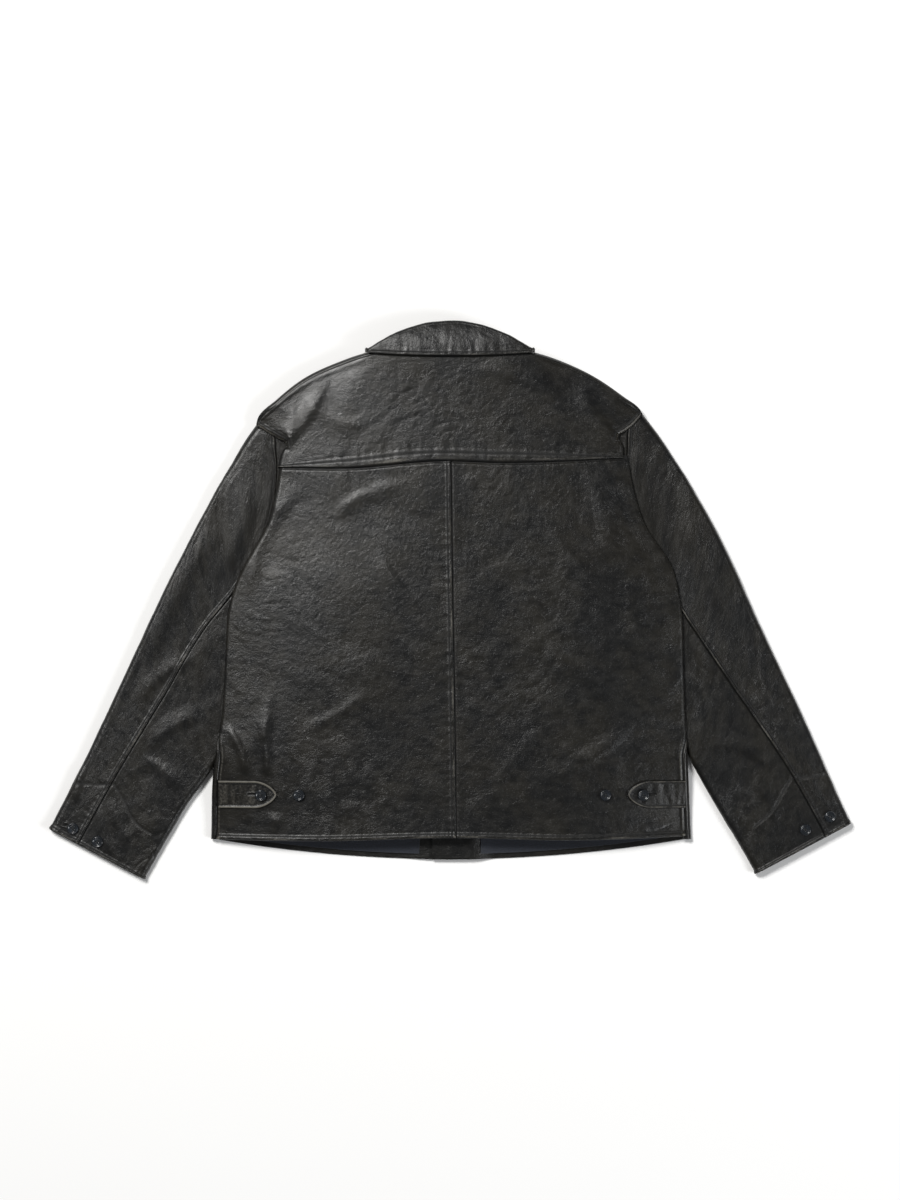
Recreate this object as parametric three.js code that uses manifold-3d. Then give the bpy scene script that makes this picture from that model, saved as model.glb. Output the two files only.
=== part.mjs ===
// A leather button-front jacket laid flat with its back up, made of separate cut pieces.
// Millimetres. +Z is up, +Y runs from hem to collar, -X is the wearer's left.
import * as THREE from "three";
import { mergeVertices } from "three/addons/utils/BufferGeometryUtils.js";
import Module from "manifold-3d";

// Driving sizes of the body
const backLength = 630; // back neck seam to back hem
const neckY = 320; // back neck seam above the frame's middle
const hemHalf = 311;
const chestHalf = 290;
const yokeHalf = 222;
const yokeDepth = 144;
const shoulderHalf = 250;
const shoulderDrop = 99;
const shoulderCurve = 1.8;
const neckHalf = 88;
const neckRise = 8; // the shoulder's neck point above the back neck seam
const frontNeckDrop = 75;
const frontDip = 27; // the front hem hangs below the back hem
const overlapHalf = 23.4; // half the width that the two fronts lap over each other
const armholeFrontHalf = 235;
const underarmY = -60;
const bodyThick = 31;

// Materials and clearances
const leather = 1.3;
const lining = 1.0;
const pocketCloth = 1.2;
const gap = 0.3;
const seatGap = 0.7; // under a piece that lies on a domed panel
const liningSlack = 0.8; // between a lining and the leather it lies loosely against

// Sleeves
const sleeveLength = 579;
const sleeveAngle = THREE.MathUtils.degToRad(27);
const cuffWidth = 139;
const sleeveThick = 12.7;
const sleeveTop = { x: shoulderHalf + 8, y: neckY + neckRise - shoulderDrop - 11 };
const armpit = { x: armholeFrontHalf + 9, y: underarmY + 25 };
const underarmHollow = 30;
const sleeveHead = {
  outer: { x: sleeveTop.x - 20, y: sleeveTop.y - 24 },
  inner: { x: armpit.x - 17, y: armpit.y + 43 },
};
const edgeRound = 0.85; // powers that flatten the round section of a sleeve
const faceRound = 0.5;
const seamShare = 0.3; // back sleeve seam, as a share of the width from the outer edge
const frontSeamShare = 0.85;
const cuffFacingDepth = 62;
const cuffButtonInset = 20; // cuff buttons, up from the cuff's edge
const cuffButtonShares = { outer: 0.22, inner: 0.5 }; // across the cuff from its outer edge
const ventLength = 96;
const ventFoldShare = 0.06; // where the flap folds at the cuff's edge, from the outer edge
const ventNarrow = 0.12; // the flap's width at the top of the vent, as a share of its width below
const ventStep = 0.1; // how far the flap's edge lies past the back seam, as a share of the width

// Collar
const collarTopY = 362;
const collarFall = 38;
const collarHalf = 112;
const leafEdgeY = 317;
const collarRoll = 9;
const collarSeat = 1.9; // between the folded leaf and the yoke
const wingWidth = 62;

// Buttons, tabs and small pieces
const buttonDiameter = 15;
const buttonHeight = 3;
const shankDiameter = 2.4;
const freeStand = 0.8; // thread under a button that holds nothing
const slitLength = 17;
const slitWidth = 3.4;
const tabLength = 76;
const tabHeight = 36;
const tabY = -252;
const tabInset = 9; // side seam, in from the body's side edge
const tabSpacing = 49; // from the button in the tab to the free one
const frontButtons = 6;
const liningHem = 7; // the front lining stops this far above the hem
const pocket = { x: 89, y: -150, width: 46, height: 170, mouth: 150, welt: 22 };

// Heights that follow from the stack of layers
const hemY = neckY - backLength;
const yokeY = neckY - yokeDepth;
const neckPointY = neckY + neckRise;
const chestY = underarmY + 60;
const neckFrontY = neckPointY - frontNeckDrop;
const layer = leather + gap;
const sideLift = sleeveThick + gap + gap; // the body's sides lie over the sleeves
const placketLift = buttonHeight + gap + 0.1;
const wingLift = layer + 0.3;
const liftTwist = 0.165; // room for the front lining where the side lifts, as a share of the lift
// Front lining over leather and pocket bag, and clear of the lifted side
const liningRise = Math.max(layer + pocketCloth + gap + gap, leather + liftTwist * sleeveThick);
const liftTopY = underarmY + 50;
const liftFullY = underarmY + 5;
const liftLowY = hemY + 8;
const liftLowFullY = hemY + 118;
const rollWidth = 10;
const rollHeight = 5;
const domeWidth = 200;

const { lerp, smoothstep, clamp } = THREE.MathUtils;

const leatherMaterial = () =>
  new THREE.MeshStandardMaterial({ color: 0x23231e, roughness: 0.46, metalness: 0 });
const liningMaterial = () =>
  new THREE.MeshStandardMaterial({ color: 0x1b1e24, roughness: 0.95, metalness: 0 });
const pocketMaterial = () =>
  new THREE.MeshStandardMaterial({ color: 0x2a2a2c, roughness: 0.9, metalness: 0 });
const buttonMaterial = () =>
  new THREE.MeshStandardMaterial({ color: 0x14181f, roughness: 0.22, metalness: 0 });

// Outlines: half widths and edges as functions of height or of distance from the centre

function sideEdge(y) {
  if (y < chestY) return lerp(chestHalf, hemHalf, (y - chestY) / (hemY - chestY));
  return lerp(chestHalf, yokeHalf, smoothstep(y, chestY, yokeY));
}

function shoulderLine(x) {
  const along = clamp((x - neckHalf) / (shoulderHalf - neckHalf), 0, 1);
  return neckPointY - shoulderDrop * Math.pow(along, shoulderCurve);
}

function backTop(x) {
  if (x >= neckHalf) return shoulderLine(x);
  return lerp(neckY, neckPointY, Math.pow(Math.abs(x) / neckHalf, 2));
}

function frontTop(x) {
  if (x >= neckHalf) return shoulderLine(x);
  return lerp(neckFrontY, neckPointY, Math.pow(Math.max(x, 0) / neckHalf, 2.4));
}

// Heights: the outer face of the fronts, and the inner face of the back

function bodyLift(y) {
  const low = smoothstep(y, liftLowY, liftLowFullY);
  return sideLift * low;
}

function frontHeight(x, y, isRight) {
  const acrossSleeve = smoothstep(x, armholeFrontHalf - 95, armholeFrontHalf);
  const alongSleeve = 1 - smoothstep(y, liftFullY, liftTopY);
  const side = bodyLift(y) * acrossSleeve * alongSleeve;
  const nearTop = smoothstep(y, shoulderLine(x) - 34, shoulderLine(x));
  const shoulder = (sideLift - wingLift) * nearTop * smoothstep(x, neckHalf - 14, neckHalf);
  const wing = wingLift * smoothstep(y, 110, 170);
  const middle = 1 - smoothstep(x, 26, 62);
  const under = isRight ? placketLift + 2 * layer : placketLift;
  return Math.max(under * middle, wing) + side + shoulder;
}

function backHeight(x, y, edge) {
  const fromSide = edge - Math.abs(x);
  const neckOpen = 120 * (1 - smoothstep(Math.abs(x), neckHalf - 30, neckHalf + 25));
  const fromTop = backTop(Math.abs(x)) - y + neckOpen;
  const rise = (d, width) => 1 - Math.pow(1 - clamp(d / width, 0, 1), 2);
  const base = bodyLift(y) + layer;
  const dome = bodyThick - leather - base - rollHeight;
  const roll = rollHeight * rise(Math.min(fromSide, fromTop), rollWidth);
  return base + roll + dome * rise(fromSide, domeWidth) * rise(fromTop, 90);
}

// Sheets: a box of nu by nv cells, one cell thick, moved onto a surface

function bent(columns, rows, place) {
  const box = new THREE.BoxGeometry(1, 1, 1, columns, rows, 1);
  const at = box.getAttribute("position");
  for (let i = 0; i < at.count; i++) {
    const column = Math.round((at.getX(i) + 0.5) * columns);
    const row = Math.round((at.getY(i) + 0.5) * rows);
    const [x, y, z] = place(column, row, at.getZ(i) + 0.5);
    at.setXYZ(i, x, y, z);
  }
  return box;
}

function sheet(columnCount, rows, pointAt, lowFace, thickness) {
  return bent(columnCount - 1, rows.length - 1, (i, j, w) => {
    const [x, y, edge] = pointAt(i, rows[j]);
    return [x, y, lowFace(x, y, edge) + w * thickness];
  });
}

// A body panel's columns: from its inner edge to its outer edge, closer together at the side
function panelColumns(inner, marks, edge) {
  const shoulderIn = edge - 60;
  const last = marks[marks.length - 1];
  const middle = [0.33, 0.66, 1].map((share) => lerp(last, shoulderIn, share));
  return [inner, ...marks, ...middle, edge - 40, edge - 20, edge - rollWidth, edge - 4, edge];
}

const lowRows = (top) => [0, 20, 42, 64, 88, 118, 170, 235, 300, 350, 400, 440, 480]
  .map((up) => hemY + up)
  .filter((y) => y < top - 12)
  .concat(top);

function backPanel() {
  const marks = [30, 60, neckHalf];
  const count = panelColumns(gap / 2, marks, yokeHalf).length;
  const pointAt = (i, y) => {
    const edge = sideEdge(y);
    return [panelColumns(gap / 2, marks, edge)[i], y, edge];
  };
  return sheet(count, lowRows(yokeY - gap / 2), pointAt, backHeight, leather);
}

// The yoke and the lining behind it run from side to side: negative marks mirror the positive
function yokeEdge(share) {
  return lerp(yokeHalf, shoulderHalf, share * share);
}

function mirrored(columns) {
  return [...columns.slice(1).reverse().map((x) => -x), 0, ...columns.slice(1)];
}

function backYoke() {
  const marks = [30, 60, neckHalf];
  const shares = [0, 0.3, 0.6, 0.8, 0.93, 1];
  const columns = (edge) => mirrored(panelColumns(0, marks, edge));
  const pointAt = (i, share) => {
    const edge = yokeEdge(share);
    const x = columns(edge)[i];
    return [x, lerp(yokeY + gap / 2, backTop(Math.abs(x)), share), edge];
  };
  return sheet(columns(yokeHalf).length, shares, pointAt, backHeight, leather);
}

function backLining() {
  const marks = [30, 60, neckHalf];
  const drop = liningSlack + lining;
  const columns = (edge) => mirrored(panelColumns(0, marks, edge).slice(0, -3));
  const rows = lowRows(yokeY).slice(1);
  rows.push(lerp(yokeY, neckY, 0.3), lerp(yokeY, neckY, 0.52));
  const pointAt = (i, y) => {
    const edge = sideEdge(Math.min(y, yokeY));
    return [columns(edge)[i], y, edge];
  };
  const under = (x, y, edge) => backHeight(x, y, edge) - drop;
  return sheet(columns(yokeHalf).length, rows, pointAt, under, lining);
}

// Front panels: rows up to the chest are level, close together by the hem and by the armhole,
// where the lift changes, and the rest fan out to the neck and shoulder
const chestRow = underarmY + 190;
const hemRows = [0, 20, 42, 64, 88, 118].map((up) => hemY + up);
const armholeRows = [-15, 5, 30, 50, 100, 150].map((up) => underarmY + up);
const sideRow = lerp(hemRows[hemRows.length - 1], armholeRows[0], 4 / 9);
const frontRows = [...hemRows, sideRow, ...armholeRows]
  .map((y) => ({ y, share: 0 }))
  .concat([0, 0.25, 0.5, 0.75, 0.88, 0.95, 1].map((share) => ({ y: chestRow, share })));

function frontEdge(row) {
  if (row.share > 0) return lerp(armholeFrontHalf - 9, shoulderHalf - 4, row.share ** 2);
  if (row.y < underarmY) return sideEdge(row.y);
  return lerp(armholeFrontHalf, armholeFrontHalf - 9, smoothstep(row.y, underarmY, chestRow));
}

// The front hem dips in the middle; a piece inside it stops short of it by the inset
function frontPoint(columns, inset) {
  return (i, row) => {
    const edge = frontEdge(row);
    const x = columns(edge)[i];
    const sag = frontDip * (1 - Math.pow(Math.abs(x) / hemHalf, 2)) - inset;
    const low = row.y === hemY ? row.y - sag : row.y;
    return [x, lerp(low, frontTop(x), row.share), edge];
  };
}

const frontColumns = (edge) => panelColumns(-overlapHalf, [0, 26, 44, 62, neckHalf], edge);

function frontPanel(isRight) {
  const height = (x, y) => frontHeight(x, y, isRight);
  const count = frontColumns(chestHalf).length;
  return sheet(count, frontRows, frontPoint(frontColumns, 0), height, leather);
}

function frontFacing(isRight) {
  const height = (x, y) => frontHeight(x, y, isRight) + layer;
  const columns = (edge) => frontColumns(edge).slice(0, 4);
  const rows = frontRows.slice(0, -4);
  return sheet(4, rows, frontPoint(columns, 1), height, leather);
}

function frontLining(isRight) {
  const height = (x, y) => frontHeight(x, y, isRight) + liningRise;
  const columns = (edge) => frontColumns(edge).slice(4, -4);
  const rows = frontRows.slice(0, -4);
  const count = columns(chestHalf).length;
  return sheet(count, rows, frontPoint(columns, liningHem), height, lining);
}

// Sleeves: flattened tubes, lofted from the armhole to the cuff

const sleeveAxis = { x: Math.sin(sleeveAngle), y: -Math.cos(sleeveAngle) };
const cuffOuter = {
  x: sleeveTop.x + sleeveLength * sleeveAxis.x,
  y: sleeveTop.y + sleeveLength * sleeveAxis.y,
};
const cuffInner = {
  x: cuffOuter.x + cuffWidth * sleeveAxis.y,
  y: cuffOuter.y - cuffWidth * sleeveAxis.x,
};
const underarmLine = new THREE.QuadraticBezierCurve(
  new THREE.Vector2(armpit.x, armpit.y),
  new THREE.Vector2(
    lerp(armpit.x, cuffInner.x, 0.42) + underarmHollow * sleeveAxis.y,
    lerp(armpit.y, cuffInner.y, 0.42) - underarmHollow * sleeveAxis.x,
  ),
  new THREE.Vector2(cuffInner.x, cuffInner.y),
);

// share 0 is the sleeve top outside the armhole, 1 the cuff; -1 is the head inside it
function sleeveSection(share) {
  if (share < 0) return { outer: sleeveHead.outer, inner: sleeveHead.inner, floor: layer };
  const outer = {
    x: lerp(sleeveTop.x, cuffOuter.x, share),
    y: lerp(sleeveTop.y, cuffOuter.y, share),
  };
  const inner = underarmLine.getPoint(share);
  return { outer, inner, floor: share > 0.02 ? 0 : layer };
}

// A point of the flattened tube: angle 0 is the inner edge, a quarter turn the top face
function sleevePoint(share, angle, inset) {
  const { outer, inner, floor } = sleeveSection(share);
  const middle = { x: (outer.x + inner.x) / 2, y: (outer.y + inner.y) / 2 };
  const width = Math.hypot(inner.x - outer.x, inner.y - outer.y);
  const half = width / 2 - inset;
  const thick = floor > 0 ? sleeveThick - floor : sleeveThick;
  const across = (half * rounded(Math.cos(angle), edgeRound) * 2) / width;
  const up = (thick / 2 - inset) * rounded(Math.sin(angle), faceRound);
  return [
    middle.x + ((inner.x - outer.x) / 2) * across,
    middle.y + ((inner.y - outer.y) / 2) * across,
    floor + thick / 2 + up,
  ];
}

function shareAngle(share, isTop) {
  const across = clamp(2 * share - 1, -1, 1);
  const angle = Math.acos(rounded(across, 1 / edgeRound));
  return isTop ? angle : 2 * Math.PI - angle;
}

function rounded(value, power) {
  return Math.sign(value) * Math.pow(Math.abs(value), power);
}

const sleeveRows = [-1, 0, 0.06, 0.16, 0.3, 0.45, 0.6, 0.8, 1];

function sleeveShell(fromAngle, toAngle, cells) {
  const seam = gap / 100;
  return bent(cells, sleeveRows.length - 1, (i, j, w) => {
    const angle = lerp(fromAngle + seam, toAngle - seam, i / cells);
    const share = sleeveRows[sleeveRows.length - 1 - j];
    return sleevePoint(share, angle, (1 - w) * leather);
  });
}

const backSeamAngle = shareAngle(seamShare, true);
const frontSeamAngle = shareAngle(frontSeamShare, false);

function sleeveRing(from, to, inset, thickness) {
  const rows = [from, ...sleeveRows.filter((share) => share > from && share < to), to];
  const outline = [...rows.map((share) => new THREE.Vector2(2, share))];
  outline.push(...rows.map((share) => new THREE.Vector2(1, share)).reverse());
  outline.push(outline[0].clone());
  const ring = new THREE.LatheGeometry(outline, 18);
  const at = ring.getAttribute("position");
  for (let i = 0; i < at.count; i++) {
    const isOuter = Math.hypot(at.getX(i), at.getZ(i)) > 1.5;
    const angle = Math.atan2(at.getZ(i), at.getX(i));
    const depth = isOuter ? inset : inset + thickness;
    at.setXYZ(i, ...sleevePoint(at.getY(i), angle, depth));
  }
  return ring;
}

const insideSleeve = leather + liningSlack + gap;
const sleeveLining = () => sleeveRing(-1, 1 - cuffFacingDepth / sleeveLength, insideSleeve, lining);
const cuffFacing = () =>
  sleeveRing(1 - (cuffFacingDepth - gap) / sleeveLength, 1 - 0.004, insideSleeve, leather);

// The vent flap: the free corner of the upper sleeve, from the top of the vent, where it is
// narrow, to the cuff's edge, where it reaches the outer fold
const flapEdge = shareAngle(seamShare + ventStep, true);
const flapFold = shareAngle(ventFoldShare, true);
const ventTop = 1 - ventLength / sleeveLength;

function cuffFlap() {
  const cells = 8;
  const rows = 5;
  return bent(cells, rows, (i, j, w) => {
    const down = 1 - j / rows;
    const reach = lerp(ventNarrow, 1, down);
    const angle = lerp(flapEdge, lerp(flapEdge, flapFold, reach), i / cells);
    return sleevePoint(lerp(ventTop, 1, down), angle, -seatGap - leather * w);
  });
}

// Collar

const foldY = (x) => collarTopY - collarFall * Math.pow(x / collarHalf, 2);
const leafY = (x) => leafEdgeY + 4 * Math.pow(x / collarHalf, 2);

function leafHeight(x, y) {
  const flatY = Math.min(y, backTop(Math.abs(x)));
  const past = clamp((y - neckY) / (collarTopY - neckY), 0, 1);
  const onYoke = backHeight(Math.abs(x), flatY, yokeEdge(0.95)) + leather;
  return onYoke + collarSeat - collarRoll * past * past;
}

function collarSheet(halfWidth, above, thickness, lowY, highY) {
  const columns = 14;
  const rows = 6;
  return bent(columns, rows, (i, j, w) => {
    const x = lerp(-halfWidth, halfWidth, i / columns);
    const y = lerp(lowY(x), highY(x), j / rows);
    return [x, y, leafHeight(x, y) + above + w * thickness];
  });
}

const underCollar = () => collarSheet(collarHalf - 5, 0, leather, leafY, foldY);
const collarLeaf = () => collarSheet(collarHalf - 4, leather + seatGap, leather, leafY, foldY);

function collarStand() {
  const columns = 12;
  const rows = 5;
  const half = neckHalf - 4;
  return bent(columns, rows, (i, j, w) => {
    const x = lerp(-half, half, i / columns);
    const y = lerp(backTop(Math.abs(x)) - 12, foldY(x) - 2, j / rows);
    const under = leafHeight(x, y) - collarSeat - leather - layer - seatGap;
    return [x, y, under + w * leather];
  });
}

// A front half of the collar lies face down under its front panel
function collarFront() {
  const columns = 6;
  return bent(columns, 2, (i, j, w) => {
    const along = i / columns;
    const inner = { x: lerp(24, collarHalf - 2, along), y: lerp(neckFrontY + 6, 322, along ** 0.8) };
    const reach = lerp(wingWidth, 26, along);
    const down = { x: lerp(0.42, 0.2, along), y: lerp(-0.9, -0.98, along) };
    const out = 1 - j / 2;
    return [inner.x + reach * out * down.x, inner.y + reach * out * down.y, w * leather];
  });
}

// Solids for cutting and joining

const wasm = await Module();
wasm.setup();

function toSolid(geometry) {
  const bare = geometry.clone().deleteAttribute("normal").deleteAttribute("uv");
  const merged = mergeVertices(bare, 1e-4);
  return new wasm.Manifold(
    new wasm.Mesh({
      numProp: 3,
      vertProperties: merged.getAttribute("position").array,
      triVerts: new Uint32Array(merged.index.array),
    }),
  );
}

function toGeometry(solid) {
  const mesh = solid.getMesh();
  const geometry = new THREE.BufferGeometry();
  geometry.setAttribute("position", new THREE.BufferAttribute(mesh.vertProperties, 3));
  geometry.setIndex(new THREE.BufferAttribute(mesh.triVerts, 1));
  geometry.computeVertexNormals();
  return geometry;
}

// A buttonhole is a slot through a sheet, centred at (x, y), long way turned by angle
function withSlits(geometry, slits) {
  let solid = toSolid(geometry);
  for (const { x, y, angle } of slits) {
    const slot = new THREE.BoxGeometry(slitLength, slitWidth, 4 * bodyThick);
    slot.rotateZ(angle).translate(x, y, 0);
    solid = solid.subtract(toSolid(slot));
  }
  return toGeometry(solid);
}

// Waist tab: a band with a pointed-round tip, from the side seam towards the centre
const tabRoot = () => sideEdge(tabY) - tabInset;
const tabButtonX = () => tabRoot() - tabLength + tabHeight * 0.55;

function waistTab() {
  const columns = 10;
  const rows = 4;
  const tip = tabHeight * 0.62;
  const geometry = bent(columns, rows, (i, j, w) => {
    const x = tabRoot() - tabLength * (1 - i / columns);
    const fromTip = clamp((x - (tabRoot() - tabLength)) / tip, 0.02, 1);
    const half = (tabHeight / 2) * Math.pow(1 - Math.pow(1 - fromTip, 2), 0.42);
    const y = tabY + lerp(-half, half, j / rows);
    return [x, y, backHeight(x, y, sideEdge(y)) + leather + seatGap + w * leather];
  });
  const slit = { x: tabButtonX() + slitLength / 2 - shankDiameter, y: tabY, angle: 0 };
  return withSlits(geometry, [slit]);
}

// Button: a rimmed disc on a thread shank that reaches down by the given length
function buttonShape(shank) {
  const r = buttonDiameter / 2;
  const s = shankDiameter / 2;
  const outline = [
    [0, -shank], [s, -shank], [s, 0], [r - 1, 0], [r, 1], [r - 0.6, buttonHeight],
    [r - 2.2, buttonHeight], [r - 3, buttonHeight - 1], [0, buttonHeight - 1],
  ];
  const points = outline.map(([x, y]) => new THREE.Vector2(x, y));
  return new THREE.LatheGeometry(points, 12).rotateX(Math.PI / 2);
}

function named(name, geometry, material) {
  const mesh = new THREE.Mesh(geometry, material);
  mesh.name = name;
  return mesh;
}

// A button stands square on a surface given by its height function
function seatedButton(name, x, y, height, under) {
  const step = 4;
  const slopeX = (height(x + step, y) - height(x - step, y)) / (2 * step);
  const slopeY = (height(x, y + step) - height(x, y - step)) / (2 * step);
  const normal = new THREE.Vector3(-slopeX, -slopeY, 1).normalize();
  const button = named(name, buttonShape(under - gap), buttonMaterial());
  button.quaternion.setFromUnitVectors(new THREE.Vector3(0, 0, 1), normal);
  const seat = new THREE.Vector3(x, y, height(x, y));
  button.position.copy(seat.addScaledVector(normal, under));
  return button;
}

function pocketBag() {
  return bent(2, 5, (i, j, w) => {
    const x = pocket.x + (i / 2 - 0.5) * pocket.width;
    const y = pocket.y + (j / 5 - 0.5) * pocket.height;
    return [x, y, layer + w * pocketCloth];
  });
}

// The welt lines the slanted pocket mouth, inside the front between its leather and the bag
function pocketWelt() {
  const box = new THREE.BoxGeometry(pocket.welt, pocket.mouth * 0.9, leather);
  return box.translate(pocket.x + pocket.width / 2 + pocket.welt / 2 + 1, pocket.y, layer + leather / 2);
}

// One side of the jacket, made as the wearer's right; the left is its mirror image
function halfJacket(side) {
  const isRight = side === "right";
  const half = new THREE.Group();
  const add = (name, geometry, material) =>
    half.add(named(name + "_" + side, geometry, material));
  const slits = isRight ? [] : frontButtonRows().map((y) => ({ x: 0, y, angle: 0 }));
  const shut = (geometry) => (slits.length ? withSlits(geometry, slits) : geometry);
  add("back_panel", backPanel(), leatherMaterial());
  add("front_panel", shut(frontPanel(isRight)), leatherMaterial());
  add("front_facing", shut(frontFacing(isRight)), leatherMaterial());
  add("lining_front", frontLining(isRight), liningMaterial());
  add("under_sleeve", sleeveShell(frontSeamAngle - 2 * Math.PI, backSeamAngle, 9), leatherMaterial());
  add("upper_sleeve", sleeveShell(backSeamAngle, frontSeamAngle, 10), leatherMaterial());
  add("lining_sleeve", sleeveLining(), liningMaterial());
  add("cuff_facing", cuffFacing(), leatherMaterial());
  add("cuff_flap", cuffFlapCut(), leatherMaterial());
  add("waist_tab", waistTab(), leatherMaterial());
  add("pocket_bag", pocketBag(), pocketMaterial());
  add("pocket_welt", pocketWelt(), leatherMaterial());
  add("collar_front", collarFront(), leatherMaterial());
  const backFace = (x, y) => backHeight(x, y, sideEdge(y)) + leather;
  const under = seatGap + leather + gap;
  half.add(seatedButton("waist_button_outer_" + side, tabButtonX(), tabY, backFace, under + gap));
  half.add(seatedButton("waist_button_inner_" + side, tabButtonX() - tabSpacing, tabY, backFace, freeStand));
  const stands = { outer: under + gap, inner: freeStand };
  for (const place of ["outer", "inner"]) {
    const [x, y, z] = cuffPoint(cuffButtonShares[place]);
    half.add(seatedButton("cuff_button_" + place + "_" + side, x, y, () => z, stands[place]));
  }
  if (!isRight) half.scale.x = -1;
  return half;
}

function cuffPoint(share) {
  const along = 1 - cuffButtonInset / sleeveLength;
  return sleevePoint(along, shareAngle(share, true), 0);
}

function cuffFlapCut() {
  const [x, y] = cuffPoint(cuffButtonShares.outer);
  const slitShift = slitLength / 2 - shankDiameter;
  const slit = {
    x: x + slitShift * Math.cos(sleeveAngle),
    y: y + slitShift * Math.sin(sleeveAngle),
    angle: sleeveAngle,
  };
  return withSlits(cuffFlap(), [slit]);
}

function frontButtonRows() {
  const top = neckFrontY - 22;
  const bottom = hemY + 26;
  return Array.from({ length: frontButtons }, (_, i) => lerp(top, bottom, i / (frontButtons - 1)));
}

// Front buttons lie face down, their shanks up through the left front to the right one
function frontButtonRow() {
  const shank = 2 * layer;
  return frontButtonRows().map((y, i) => {
    const button = named("front_button_" + (i + 1), buttonShape(shank), buttonMaterial());
    button.rotation.x = Math.PI;
    button.position.set(0, y, buttonHeight);
    return button;
  });
}

// Hanger loop: a leather strip under the back neck, bowed down between its sewn ends
function hangerLoop() {
  return bent(10, 1, (i, j, w) => {
    const x = lerp(-32, 32, i / 10);
    const bow = 10 * (1 - Math.pow(x / 32, 2));
    const y = neckY - 18 - bow + 6 * j;
    const under = backHeight(Math.abs(x), y, yokeEdge(1)) - leather - seatGap - layer;
    return [x, y, under + w * leather];
  });
}

function neckFacing() {
  const columns = 12;
  return bent(columns, 3, (i, j, w) => {
    const x = lerp(-neckHalf + 6, neckHalf - 6, i / columns);
    const y = lerp(neckY - 52, neckY - 16, j / 3);
    return [x, y, backHeight(Math.abs(x), y, yokeEdge(1)) - leather - seatGap + w * leather];
  });
}

const jacket = new THREE.Group();
jacket.add(halfJacket("left"), halfJacket("right"));
jacket.add(named("back_yoke", backYoke(), leatherMaterial()));
jacket.add(named("lining_back", backLining(), liningMaterial()));
jacket.add(named("back_neck_facing", neckFacing(), leatherMaterial()));
jacket.add(named("hanger_loop", hangerLoop(), leatherMaterial()));
jacket.add(named("collar_leaf", collarLeaf(), leatherMaterial()));
jacket.add(named("under_collar", underCollar(), leatherMaterial()));
jacket.add(named("collar_stand", collarStand(), leatherMaterial()));
jacket.add(...frontButtonRow());

// The frame's origin is the bottom centre of the whole jacket's box
const bounds = new THREE.Box3().setFromObject(jacket);
const middle = bounds.getCenter(new THREE.Vector3());
jacket.position.set(-middle.x, -middle.y, -bounds.min.z);

export default jacket;
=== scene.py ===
"""A leather jacket laid flat with its back up: detailed panels, stitching, buttons and lining.

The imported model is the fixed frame. Every piece here is in metres in that frame, with +Z up,
+Y from hem to collar and -X at the wearer's left.
"""

import logging
import math
from dataclasses import dataclass, field
from enum import Enum
from typing import Callable, Optional, Sequence

import bpy
import numpy as np
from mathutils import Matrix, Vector


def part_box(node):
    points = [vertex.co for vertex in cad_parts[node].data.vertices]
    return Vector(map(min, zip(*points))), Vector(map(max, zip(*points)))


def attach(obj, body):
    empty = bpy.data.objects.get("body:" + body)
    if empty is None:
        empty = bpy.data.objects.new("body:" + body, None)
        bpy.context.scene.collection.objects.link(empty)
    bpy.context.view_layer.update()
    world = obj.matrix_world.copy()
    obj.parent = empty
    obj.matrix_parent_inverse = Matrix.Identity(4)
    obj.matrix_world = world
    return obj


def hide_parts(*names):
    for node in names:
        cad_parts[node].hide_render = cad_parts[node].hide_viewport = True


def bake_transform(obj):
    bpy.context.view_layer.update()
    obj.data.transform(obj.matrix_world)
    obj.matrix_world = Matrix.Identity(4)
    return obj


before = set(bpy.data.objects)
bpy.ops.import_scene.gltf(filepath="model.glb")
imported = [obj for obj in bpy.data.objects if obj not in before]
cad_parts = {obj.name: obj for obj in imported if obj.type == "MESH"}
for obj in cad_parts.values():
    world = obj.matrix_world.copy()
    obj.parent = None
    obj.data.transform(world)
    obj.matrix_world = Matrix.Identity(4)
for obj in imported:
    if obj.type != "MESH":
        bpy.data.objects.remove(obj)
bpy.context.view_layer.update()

LOG = logging.getLogger("jacket")
Array = np.ndarray


class Side(Enum):
    """The wearer's left or right half, with the sign of X on that side."""

    LEFT = -1
    RIGHT = 1

    @property
    def word(self) -> str:
        """Name of the side, as the nodes use it."""
        return self.name.lower()


# ---------------------------------------------------------------- noise and shaping


def ramp(value: Array, low: float, high: float) -> Array:
    """Smooth step from 0 at low to 1 at high.

    Args:
        value: numbers to map.
        low: value that gives 0.
        high: value that gives 1.

    Returns:
        The smooth step, the same shape as value.
    """
    t = np.clip((np.asarray(value, float) - low) / (high - low), 0.0, 1.0)
    return t * t * (3.0 - 2.0 * t)


def bump(value: Array, centre: float, width: float) -> Array:
    """Bell curve of height 1.

    Args:
        value: numbers to map.
        centre: where the bell peaks.
        width: its standard deviation.

    Returns:
        The bell's height at each value.
    """
    return np.exp(-0.5 * ((np.asarray(value, float) - centre) / width) ** 2)


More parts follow.
